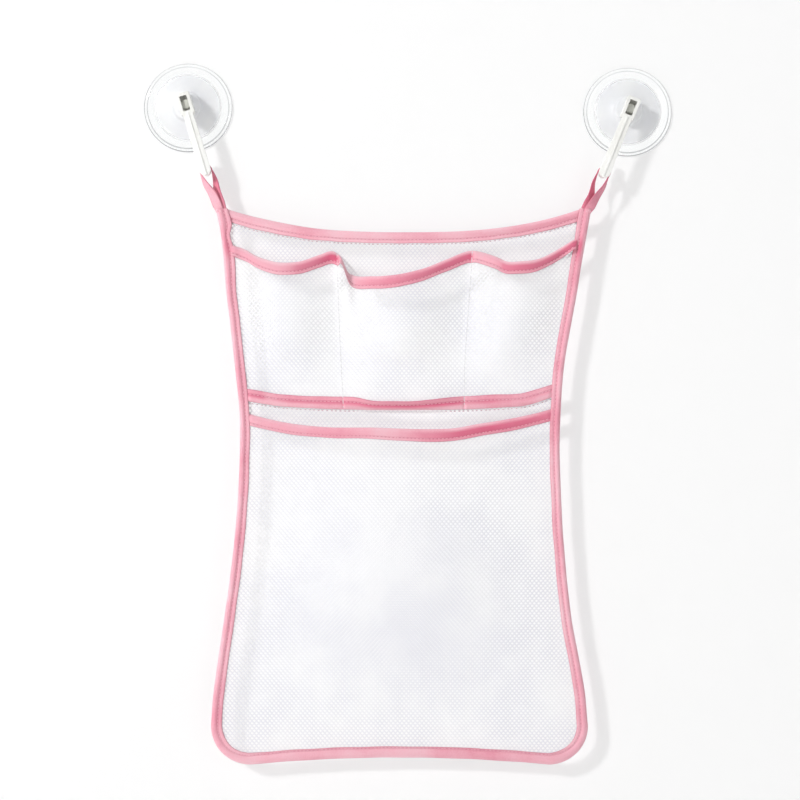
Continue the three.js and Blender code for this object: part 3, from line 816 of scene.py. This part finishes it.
def wavy(stations, size, seed):
    # the slight unevenness of sewn cloth, in its lie and in its width
    random.seed(seed)

    def waves(shortest, longest):
        # four waves of random length, phase and share
        parts = [
            (random.uniform(shortest, longest), random.uniform(0, math.tau), random.uniform(0.4, 1)) for _ in range(4)
        ]
        return lambda at: sum(share * math.sin(math.tau * at / length + phase) for length, phase, share in parts) / 4

    lift, wander, swell = waves(18, 70), waves(22, 90), waves(16, 60)
    for station in stations:
        at = station["along"]
        station["at"] = station["at"] + station["through"] * size * lift(at) + station["across"] * size * wander(at)
        station["width"] *= 1 + tapeShape["swell"] * swell(at)


def tape(run, stations):
    bm = bmesh.new()
    layers = stripLayers(bm)
    end = stations[-1]["along"]
    sections = []
    for station in stations:
        at, squeeze = station["along"], 1
        if run["tucked"]:
            squeeze = mix(tapeShape["endSqueeze"], 1, ease(min(at, end - at) / tapeShape["endLength"]))
        for place in run.get("pinches", ()):
            away = abs(station["share"] - place) * bagShape["width"] / tapeShape["pinchLength"]
            squeeze *= mix(tapeShape["pinch"], 1, ease(away))
        sections.append(tapeSection(run["back"], run["front"], station, squeeze))
    wrapStrip(bm, stations, sections, layers)
    spacing = end / (len(stations) - 1)
    for vert in bm.verts:
        station = stations[round(vert[layers["along"]] / spacing)]
        a, width = vert[layers["across"]], station["width"]
        # painted shade in the stitched crease, at the inner rim and at the fold
        crease = 1 - abs(a - station["crease"] * width) / tapeShape["creaseWidth"]
        rim = 1 - (width - a) / tapeShape["rimWidth"]
        fold = 0.5 - a / tapeShape["foldWidth"]
        vert[layers["edge"]] = clamp(max(crease, rim, fold))
        # painted shade across the tape: none at the fold, rising towards the crease where the roll turns from the
        # light, half past it; along the tape by its table
        beyond = ease((a - station["crease"] * width) / tapeShape["creaseWidth"])
        depth = mix(ease((a / width - run["shadeStart"]) / tapeShape["shadeFade"]), 0.5, beyond)
        vert[layers["painted_shade"]] = clamp(follow(run["shadeShares"], station["share"])) * depth
    return bm


threads = {
    "tape": {"pitch": tapeShape["stitchPitch"], "length": 2.3, "radius": 0.3},
    "edge": {"pitch": 3.7, "length": 1.9, "radius": 0.3, "height": 0.3},
    "divider": {"pitch": 2.5, "length": 2.3, "radius": 0.34},
}


def addStitch(bm, place, turn, thread, sides, rings):
    # a rounded stitch, long in its own Z
    size = Matrix.Diagonal((1, 1, thread["length"] / 2 / thread["radius"], 1))
    bmesh.ops.create_uvsphere(
        bm, u_segments=sides, v_segments=rings, radius=thread["radius"],
        matrix=Matrix.Translation(place) @ turn @ size,
    )


def stitchRow(stations, insetAt, height, thread):
    # one small stitch after another along a run
    bm = bmesh.new()
    total = stations[-1]["along"]
    i = 0
    for n in range(int(total // thread["pitch"])):
        target = (n + 0.5) * thread["pitch"]
        while i < len(stations) - 2 and stations[i + 1]["along"] < target:
            i += 1
        a, b = stations[i], stations[i + 1]
        place = a["at"] + a["across"] * insetAt(a) + a["through"] * height
        direction = (b["at"] + b["across"] * insetAt(b)) - (a["at"] + a["across"] * insetAt(a))
        addStitch(bm, place, direction.to_track_quat("Z", "Y").to_matrix().to_4x4(), thread, 6, 4)
    return bm


dividers = {"left": (0.304, 0.311), "right": (0.704, 0.715)}  # across at the mouth and at the foot

# Each tape's run, and along it the stitches' place across, the width and how deep the painted shade is
runs = {
    "perimeter_binding": {
        "run": outline, "back": -1.05, "front": 2.7, "tucked": False, "thread": "perimeter_stitching",
        "creases": [
            (0, 0.6), (0.36, 0.6), (0.4, 0.76), (0.43, 0.87), (0.59, 0.87), (0.62, 0.76), (0.66, 0.6), (1, 0.6),
        ],
        "widths": [
            (0, 1.08), (0.011, 1.12), (0.018, 0.82), (0.028, 1), (0.06, 0.9), (0.2, 0.88), (0.33, 0.95), (0.39, 1.04),
            (0.42, 1.02), (0.58, 1), (0.61, 1.05), (0.67, 0.95), (0.8, 0.88), (0.95, 0.95), (0.985, 1.02), (1, 1.06),
        ],
        "shadeShares": [
            (0, 0.3), (0.018, 0.3), (0.026, 0.65), (0.036, 0.3), (0.1, 0.15), (0.35, 0.12), (0.5, 0.08),
            (0.65, 0.12), (0.9, 0.1), (0.96, 0.3), (0.974, 0.85), (0.984, 0.3), (1, 0.3),
        ],
    },
    "top_edge_binding": {
        "run": edgeRun(topEdge, lambda u, z: 0), "thread": "top_edge_stitching", "edgeRow": 1.1,
        "creases": [(0, 0.68), (1, 0.68)],
        "widths": [(0, 1.15), (0.15, 1.1), (0.3, 1), (0.7, 0.98), (0.95, 1.06), (1, 1.1)],
        "shadeShares": [(0, 0.1), (0.5, 0.02), (0.75, 0.2), (0.93, 0.4), (1, 0.35)],
    },
    "upper_pocket_top_binding": {
        "run": edgeRun(upperMouth, lambda u, z: pocketPlane + upperBulge(u, z), leans=mouthLeans),
        "thread": "upper_pocket_top_stitching", "pinches": [dividers["left"][0], dividers["right"][0]],
        "backShare": 0.76,
        "creases": [(0, 0.74), (1, 0.74)], "widths": [(0, 1.05), (0.3, 1.1), (0.5, 1.08), (1, 1.08)],
        "shadeShares": [
            (0, 0.4), (0.03, 0.35), (0.1, 0.35), (0.16, 0.4), (0.19, 0.65), (0.24, 0.75), (0.29, 1), (0.303, 0.95),
            (0.315, 0.2), (0.35, 0.15), (0.37, 0.35), (0.42, 0.5), (0.5, 0.6), (0.6, 0.8), (0.69, 0.9), (0.702, 0.85),
            (0.712, 0.25), (0.76, 0.25), (0.79, 0.45), (0.8, 0.7), (0.9, 0.8), (0.97, 0.8), (1, 0.9),
        ],
    },
    "upper_pocket_bottom_binding": {
        "run": edgeRun(upperFoot, lambda u, z: pocketPlane, -1, footLeans),
        "thread": "upper_pocket_bottom_stitching", "pinches": [dividers["left"][1], dividers["right"][1]],
        "backShare": 0.76, "edgeRow": -0.13, "shadeStart": 0.22,
        "creases": [(0, 0.6), (1, 0.6)], "widths": [(0, 1.12), (0.2, 1.05), (0.3, 1.14), (1, 1.16)],
        "shadeShares": [
            (0, 0.6), (0.04, 0.8), (0.06, 0.2), (0.09, 0.35), (0.12, 0.6), (0.2, 0.7), (0.33, 0.75), (0.45, 0.85),
            (0.6, 0.9), (0.7, 0.85), (0.72, 0.55), (0.8, 0.7), (0.84, 0.35), (0.89, 0.1), (0.94, 0.3), (1, 0.4),
        ],
    },
    "main_pocket_top_binding": {
        "run": edgeRun(mainMouth, lambda u, z: pocketPlane + mainBulge(u, z)), "thread": "main_pocket_stitching",
        "creases": [(0, 0.76), (1, 0.76)],
        "widths": [(0, 1), (0.3, 0.92), (0.4, 0.98), (0.6, 1.1), (0.9, 1.06), (1, 1.04)],
        "shadeShares": [(0, 0.1), (0.1, 0.3), (0.3, 0.3), (0.45, 0.2), (0.55, 0.4), (0.7, 0.85), (0.9, 0.9), (1, 0.75)],
    },
}
plainRun = {"back": -1.0, "front": 1.0, "tucked": True, "backShare": 0.9, "shadeStart": 0.06}
for seed, (node, own) in enumerate(runs.items()):
    run = {**plainRun, **own}
    stations = resample(inBag(run["run"]), tapeShape["spacing"])
    for station in stations:
        station["width"] = tapeWidth * follow(run["widths"], station["share"])
        station["crease"] = follow(run["creases"], station["share"])
        station["backShare"] = run["backShare"]
    wavy(stations, tapeShape["waver"], seed)
    name = node.replace("binding", "tape")
    finishPiece(tape(run, stations), name, pinkTape, "bag", [node])
    height = run["front"] - tapeShape["dip"] + tapeShape["threadRise"]
    row = stitchRow(stations, lambda at: at["crease"] * at["width"], height, threads["tape"])
    threadName = run["thread"].replace("stitching", "stitches")
    finishPiece(row, threadName, pinkThread, "bag", [run["thread"]])
    if "edgeRow" in run:
        # a row of stitches on the back panel, just past the tape's edge, in a darker copy of the thread: painted
        # shade there
        for station in stations:
            station["at"].y, station["through"] = bagOrigin.y, forwards
        row = stitchRow(stations, lambda at: run["edgeRow"] * at["width"], threads["edge"]["height"], threads["edge"])
        finishPiece(row, threadName + "_edge", shadedThread, "bag")
print("bindings ready")


# Divider seams between the upper pockets

dividerShape = {"overlap": 0.5, "above": 0.35, "aboveTape": 0.5, "slope": 1.5, "steps": 200, "spacing": 1}


def dividerRun(mouthShare, footShare):
    # over the mouth's tape, down the net and over the foot's tape
    stations = []
    for t in evenly(0, 1, dividerShape["steps"]):
        u = mix(mouthShare, footShare, t)
        z = mix(upperMouth(u) - dividerShape["overlap"], upperFoot(u) + dividerShape["overlap"], t)
        x = acrossAt(u, z)
        past = min(upperMouth(u) - z, z - upperFoot(u)) - tapeWidth
        onTape = 1 - ease(past / dividerShape["slope"])
        forward = upperForward(x, z) + dividerShape["above"] + dividerShape["aboveTape"] * onTape
        stations.append({"at": Vector((x, -forward, z)), "across": Vector((1, 0, 0)), "through": forwards})
    return resample(inBag(stations), dividerShape["spacing"])


for side, (mouthShare, footShare) in dividers.items():
    row = stitchRow(dividerRun(mouthShare, footShare), lambda at: 0, 0, threads["divider"])
    finishPiece(row, side + "_divider_stitches", whiteThread, "bag", [side + "_divider_seam"])


# Bartacks at the top corners: close zigzag stitches through the loop's end

tackShape = {"threads": 7, "radius": 0.24, "lean": 16, "sink": 0.85}
tackForward = bagOrigin.y - runs["perimeter_binding"]["front"] - tackShape["sink"] * tapeShape["puff"]
for side, (low, high) in (("left", leftTack), ("right", rightTack)):
    bm = bmesh.new()
    thread = {"radius": tackShape["radius"], "length": high.z - low.z}
    for n in range(tackShape["threads"]):
        x = mix(low.x, high.x, (n + 0.5) / tackShape["threads"])
        lean = Matrix.Rotation(math.radians(tackShape["lean"] * (1 if n % 2 else -1)), 4, "Y")
        addStitch(bm, (x, tackForward, (low.z + high.z) / 2), lean, thread, 8, 6)
    finishPiece(bm, side + "_bartack", pinkThread, "bag", [side + "_corner_bartack"])
print("seams ready")


# Ribbon loops

loopShape = {
    "width": 8, "thickness": 1.2, "pegRadius": 4, "clearance": 0.3, "shift": 1.4, "gap": 0.5,
    "twistLength": 34, "twistPowers": {-1: 1.2, 1: 0.65}, "closeStart": 10, "closeLength": 17, "spacing": 0.7,
    "edgeWidth": 1.2, "arrivals": {-1: 0.4, 1: 0.7}, "seamDepth": 2, "endWidth": 0.82, "endThickness": 0.66,
    "endLength": 7, "pull": 0.09, "strandSteps": 60, "roundSteps": 30,
    # how deep the painted shade is along the ribbon, from the outer strand's end round the peg to the inner one's
    "shadeShares": {
        -1: [(0, 0.05), (0.25, 0.1), (0.42, 0.25), (0.5, 0.35), (0.6, 0.6), (0.8, 0.7), (1, 0.5)],
        1: [(0, 0.4), (0.25, 0.55), (0.4, 0.7), (0.5, 0.7), (0.6, 0.8), (0.8, 0.85), (1, 0.7)],
    },
}


def bezier(points, t):
    a, b, c, d = points
    s = 1 - t
    return a * s ** 3 + b * 3 * s * s * t + c * 3 * s * t * t + d * t ** 3


def bezierRun(points, t):
    a, b, c, d = points
    s = 1 - t
    return ((b - a) * 3 * s * s + (c - b) * 6 * s * t + (d - c) * 3 * t * t).normalized()


def loopStations(peg, base, side):
    reach = (base - peg).length
    pull = reach / 3
    offset = base - peg
    level = Vector((offset.x, 0, offset.z)).normalized()
    arrive = Vector((side * loopShape["arrivals"][side], 0, 1))
    middle = [Vector(), level * pull, offset + arrive * pull, offset]
    wrap = loopShape["pegRadius"] + loopShape["clearance"] + loopShape["thickness"] / 2
    together = (loopShape["thickness"] + loopShape["gap"]) / 2

    def sideOf(along):
        return Vector((-along.z, 0, along.x)) * side

    def strand(t, front):
        sideways = sideOf(bezierRun(middle, t))
        twisted = 1 - (1 - clamp(t * reach / loopShape["twistLength"])) ** loopShape["twistPowers"][side]
        turn = twisted * math.pi / 2
        spent = ease((t * reach - loopShape["closeStart"]) / loopShape["closeLength"])
        thinned = ease(1 - (1 - t) * reach / loopShape["endLength"])
        spread = mix(wrap, together, spent) * mix(1, loopShape["endThickness"], thinned)
        apart = sideways * math.cos(turn) + forwards * math.sin(turn)
        across = forwards * math.cos(turn) - sideways * math.sin(turn)
        at = peg + bezier(middle, t) + apart * front * spread + sideways * front * loopShape["shift"] * spent
        return {"at": at, "across": across, "through": apart * front}

    start = bezierRun(middle, 0)
    around = []
    for angle in evenly(0, math.pi, loopShape["roundSteps"])[1:-1]:
        out = sideOf(start) * math.cos(angle) - start * math.sin(angle)
        around.append({"at": peg + out * wrap, "across": forwards.copy(), "through": out})
    steps = evenly(0, 1, loopShape["strandSteps"])
    return [strand(t, 1) for t in reversed(steps)] + around + [strand(t, -1) for t in steps]


def ribbonSection(along, fromEnd):
    # a tape folded in half, a little fuller at its fold, drawn in along its stitches and at its ends
    spent = ease(fromEnd / loopShape["endLength"])
    half = loopShape["width"] / 2 * mix(loopShape["endWidth"], 1, spent)
    thick = loopShape["thickness"] / 2 * mix(loopShape["endThickness"], 1, spent)
    pull = loopShape["pull"] * (1 + math.cos(math.tau * along / tapeShape["stitchPitch"]))
    return [
        (-half, 0), (-half + 0.3, -0.8 * thick), (-half + 1.2, -thick), (0, -thick), (half - 2.2, -thick + pull),
        (half - 1.2, -0.85 * thick), (half - 0.1, -0.7 * thick), (half, 0), (half - 0.1, 0.7 * thick),
        (half - 1.2, 0.85 * thick), (half - 2.2, thick - pull), (0, thick), (-half + 1.2, thick),
        (-half + 0.3, 0.8 * thick),
    ]


seamY = (tapeLow.y + tapeHigh.y) / 2
for side, sign in (("left", -1), ("right", 1)):
    peg = jointAt(side + "_loop_pivot")
    end = outline[0] if sign < 0 else outline[-1]
    seam = bagOrigin + end["at"] + end["across"] * tapeWidth / 2
    base = Vector((seam.x, seamY, bagOrigin.z - loopShape["seamDepth"]))
    stations = resample(loopStations(peg, base, sign), loopShape["spacing"])
    bm = bmesh.new()
    layers = stripLayers(bm)
    length = stations[-1]["along"]
    sections = [ribbonSection(at["along"], min(at["along"], length - at["along"])) for at in stations]
    wrapStrip(bm, stations, sections, layers)
    for vert in bm.verts:
        # painted shade towards the ribbon's folded sides, and painted shade along it by its table
        away = loopShape["width"] / 2 - abs(vert[layers["across"]])
        vert[layers["edge"]] = clamp(1 - away / loopShape["edgeWidth"])
        vert[layers["painted_shade"]] = follow(loopShape["shadeShares"][sign], vert[layers["along"]] / length)
    finishPiece(bm, side + "_ribbon_loop", pinkTape, side + "_loop", [side + "_loop"])
print("loops ready")


# Suction cups

cupShape = {
    "radius": 37.5, "land": 7, "hollow": 1.4, "flange": 1.1, "ringRadius": 34.3, "ringHeight": 2.3,
    "discRadius": 27.5, "discHeight": 3.4, "domeHeight": 5.6, "hubRadius": 12.2, "hubHeight": 12,
    "neckRadius": 3, "buttonBack": 15.5, "buttonRadius": 4.2, "buttonTop": 21.1, "segments": 96,
    "ringShade": 0.4,
}


def suctionCup(centre):
    c = cupShape
    rim, flange, ring, top = c["radius"], c["flange"], c["ringRadius"], c["ringHeight"]
    disc, step, dome, hub, crown = c["discRadius"], c["discHeight"], c["domeHeight"], c["hubRadius"], c["hubHeight"]
    neck, knob, knobBack, knobTop = c["neckRadius"], c["buttonRadius"], c["buttonBack"], c["buttonTop"]
    # radius and height, from the hollow side out over the rim and up to the button
    profile = [
        (0, c["hollow"]), (rim - 2 * c["land"], c["hollow"]), (rim - c["land"], 0.05), (rim - 0.3, 0.05),
        (rim, 0.35), (rim, flange - 0.3), (rim - 0.35, flange), (ring + 1.0, flange), (ring + 0.7, flange + 0.2),
        (ring + 0.3, top - 0.2), (ring - 0.2, top), (disc + 1.5, top), (disc + 0.9, top + 0.15),
        (disc + 0.3, step - 0.15), (disc - 0.3, step), ((disc + hub) / 2, (step + dome) / 2 - 0.2),
        (hub + 1.4, dome - 0.2), (hub + 0.1, dome + 0.8), (hub - 0.4, crown - 1.0), (hub - 1.1, crown - 0.25),
        (hub - 1.9, crown), (neck + 0.5, crown), (neck, crown + 0.5), (neck, knobBack), (knob, knobBack + 0.4),
        (knob, knobTop - 0.9), (knob - 0.3, knobTop - 0.3), (knob - 0.9, knobTop), (0, knobTop),
    ]
    bm = bmesh.new()
    verts = [bm.verts.new((r, -h, 0)) for r, h in profile]
    edges = [bm.edges.new(pair) for pair in zip(verts, verts[1:])]
    bmesh.ops.spin(
        bm, geom=verts + edges, cent=(0, 0, 0), axis=(0, 1, 0), angle=math.tau,
        steps=c["segments"], use_merge=True, use_duplicate=False,
    )
    bmesh.ops.remove_doubles(bm, verts=bm.verts, dist=0.002)
    bmesh.ops.recalc_face_normals(bm, faces=bm.faces)
    radiusLayer = bm.verts.layers.float.new("radius")
    # painted shade: the rings' painted dark lines are made darker towards the bottom
    ringShadeLayer = bm.verts.layers.float.new("low")  # the rings read darker towards the bottom
    for vert in bm.verts:
        vert[radiusLayer] = math.hypot(vert.co.x, vert.co.z)
        vert[ringShadeLayer] = c["ringShade"] * (1 - vert.co.z / rim)
    bmesh.ops.translate(bm, verts=bm.verts, vec=centre)
    return bm


for side in ("left", "right"):
    low, high = boxOf(side + "_cup")
    centre = Vector(((low.x + high.x) / 2, high.y, (low.z + high.z) / 2))
    finishPiece(suctionCup(centre), side + "_suction_cup", clearVinyl, "wall_cups", [side + "_cup"])
print("cups ready")


# Hooks

hookShape = {
    "front": 25, "headWidth": 11.5, "headHeight": 18.5, "headDepth": 11.5, "headRound": 1.2,
    "lip": 1.7, "wall": 1.2, "windowWidth": 6, "windowHeight": 13, "armTopWidth": 8.4, "armWidth": 9.8,
    "armThickness": 2.8, "ribWidth": 1.8, "ribHeight": 0.9, "pegRadius": 4, "pegGap": 9.9,
    "tipThickness": 2.2, "tipWidth": 7.4, "tipRise": 12, "edge": 0.45, "ribEdge": 0.35, "cavityRound": 0.6,
    "windowRound": 0.5, "neck": 3.3, "overrun": 1, "nearlyHalf": 0.02, "sharpAngle": 34,
}


def soften(bm, edges, offset, segments=2):
    bmesh.ops.bevel(bm, geom=edges, offset=offset, segments=segments, profile=0.5, affect="EDGES", material=-1)


def depthOf(edge):
    return abs(edge.verts[0].co.y - edge.verts[1].co.y)


def slab(width, depths, heights, corner=0, edge=0, cornerSegments=4):
    # a block between two depths and two heights, with upright corners rounded and edges softened
    depth, height = depths[1] - depths[0], heights[1] - heights[0]
    bm = bmesh.new()
    bmesh.ops.create_cube(bm, size=1)
    bmesh.ops.scale(bm, vec=(width, depth, height), verts=bm.verts)
    if corner:
        soften(bm, [e for e in bm.edges if depthOf(e) > depth / 2], corner, cornerSegments)
    if edge:
        soften(bm, [e for e in bm.edges if depthOf(e) < depth / 100], edge)
    bmesh.ops.translate(bm, verts=bm.verts, vec=(0, sum(depths) / 2, sum(heights) / 2))
    return bm


def joinBy(whole, other, operation):
    # joins or cuts one solid by another and leaves the result in the first
    modifier = whole.modifiers.new("Cut", "BOOLEAN")
    modifier.operation = operation
    modifier.solver = "EXACT"
    modifier.object = other
    evaluated = whole.evaluated_get(bpy.context.evaluated_depsgraph_get())
    mesh = bpy.data.meshes.new_from_object(evaluated)
    whole.modifiers.clear()
    whole.data = mesh
    bpy.data.objects.remove(other)


def taper(bm, topScale, top, bottom):
    for vert in bm.verts:
        t = clamp((vert.co.z - bottom) / (top - bottom))
        vert.co.x *= mix(1, topScale, t)


def cylinder(radius, start, end, z):
    bm = bmesh.new()
    bmesh.ops.create_cone(
        bm, cap_ends=True, segments=48, radius1=radius, radius2=radius, depth=end - start,
        matrix=Matrix.Translation((0, (start + end) / 2, z)) @ Matrix.Rotation(math.pi / 2, 4, "X"),
    )
    return bm


def hookPiece(knob, peg):
    # head, arm, rib, peg and upturned tip, then the hollow of the head, its window and the neck's hole
    h = hookShape
    length = (Vector((peg.x, 0, peg.z)) - Vector((knob.x, 0, knob.z))).length
    front, lip, wall, edge, over = (h[name] for name in ("front", "lip", "wall", "edge", "overrun"))
    armBack = h["armThickness"] - front
    tipFront = armBack + h["pegGap"]
    headBack, headTop, windowTop = h["headDepth"] - front, h["headHeight"] / 2, h["windowHeight"] / 2
    armTop, armEnd = over - headTop, -length - h["armWidth"] / 2
    whole = linked(slab(h["headWidth"], (-front, headBack), (-headTop, headTop), h["headRound"], edge), "hookDraft")
    arm = slab(h["armWidth"], (-front, armBack), (armEnd, armTop))
    lower = [e for e in arm.edges if all(v.co.z < armEnd + 1 for v in e.verts) and depthOf(e) > 1]
    soften(arm, lower, h["armWidth"] / 2 - h["nearlyHalf"], segments=14)
    taper(arm, h["armTopWidth"] / h["armWidth"], armTop, -length)
    soften(arm, [e for e in arm.edges if depthOf(e) < 0.01], edge)
    ribEnds = (armEnd + 2 * edge, armTop)
    rib = slab(h["ribWidth"], (-front - h["ribHeight"], over - front), ribEnds, edge=h["ribEdge"])
    tip = slab(
        h["tipWidth"], (tipFront, tipFront + h["tipThickness"]), (-length - h["pegRadius"], -length + h["tipRise"]),
        h["tipWidth"] / 2 - h["nearlyHalf"], edge, cornerSegments=10,
    )
    pegPiece = cylinder(h["pegRadius"], armBack - over, tipFront + over, -length)
    cavity = slab(
        h["headWidth"] - 2 * wall, (lip - front, headBack - lip), (wall - headTop, headTop - wall), h["cavityRound"],
    )
    window = slab(h["windowWidth"], (-front - over, lip - front + over), (-windowTop, windowTop), h["windowRound"])
    neck = cylinder(h["neck"], headBack - lip - over, headBack + over, 0)
    for operation, pieces in (("UNION", (arm, rib, pegPiece, tip)), ("DIFFERENCE", (cavity, window, neck))):
        for piece in pieces:
            joinBy(whole, linked(piece, "hookPart"), operation)
    bm = bmesh.new()
    bm.from_mesh(whole.data)
    bpy.data.objects.remove(whole)
    lean = math.atan2(peg.x - knob.x, knob.z - peg.z)
    bmesh.ops.rotate(bm, verts=bm.verts, cent=(0, 0, 0), matrix=Matrix.Rotation(-lean, 3, "Y"))
    bmesh.ops.translate(bm, verts=bm.verts, vec=(knob.x, 0, knob.z))
    return bm


for side in ("left", "right"):
    bm = hookPiece(jointAt(side + "_hook_swivel"), jointAt(side + "_loop_pivot"))
    hook = finishPiece(bm, side + "_moulded_hook", whitePlastic, side + "_hook", [side + "_hook"])
    hook.data.set_sharp_from_angle(angle=math.radians(hookShape["sharpAngle"]))
print("hooks ready")


# Cut sizes of the net panels

def curveLength(points):
    return sum((after - before).length for before, after in zip(points, points[1:]))


def declareNet(piece, topAt, footAt, forwardAt):
    # as wide and as long as its widest and longest curve, from fold to fold of its tapes;
    # the longest is sought away from the side tapes
    def place(u, share):
        z = mix(topAt(u), footAt(u), share)
        x = acrossAt(u, z)
        return Vector((x, forwardAt(x, z), z))

    shares, margin = evenly(0, 1, netShape["sizeSteps"]), netShape["sizeMargin"]
    width = max(curveLength([place(u, share) for u in shares]) for share in shares) + 2 * tapeWidth
    length = max(curveLength([place(u, share) for share in shares]) for u in shares[margin:-margin])
    print("cut size", piece.name, round(width, 1), "by", round(length, 1), "mm")


def bottomEdge(u):
    return bottomLip(u) - tapeWidth


for name, shape in panels.items():
    topAt, footAt, forwardAt = shape[:3]
    declareNet(nets[name], topAt, footAt or bottomEdge, forwardAt)

print("scene ready")
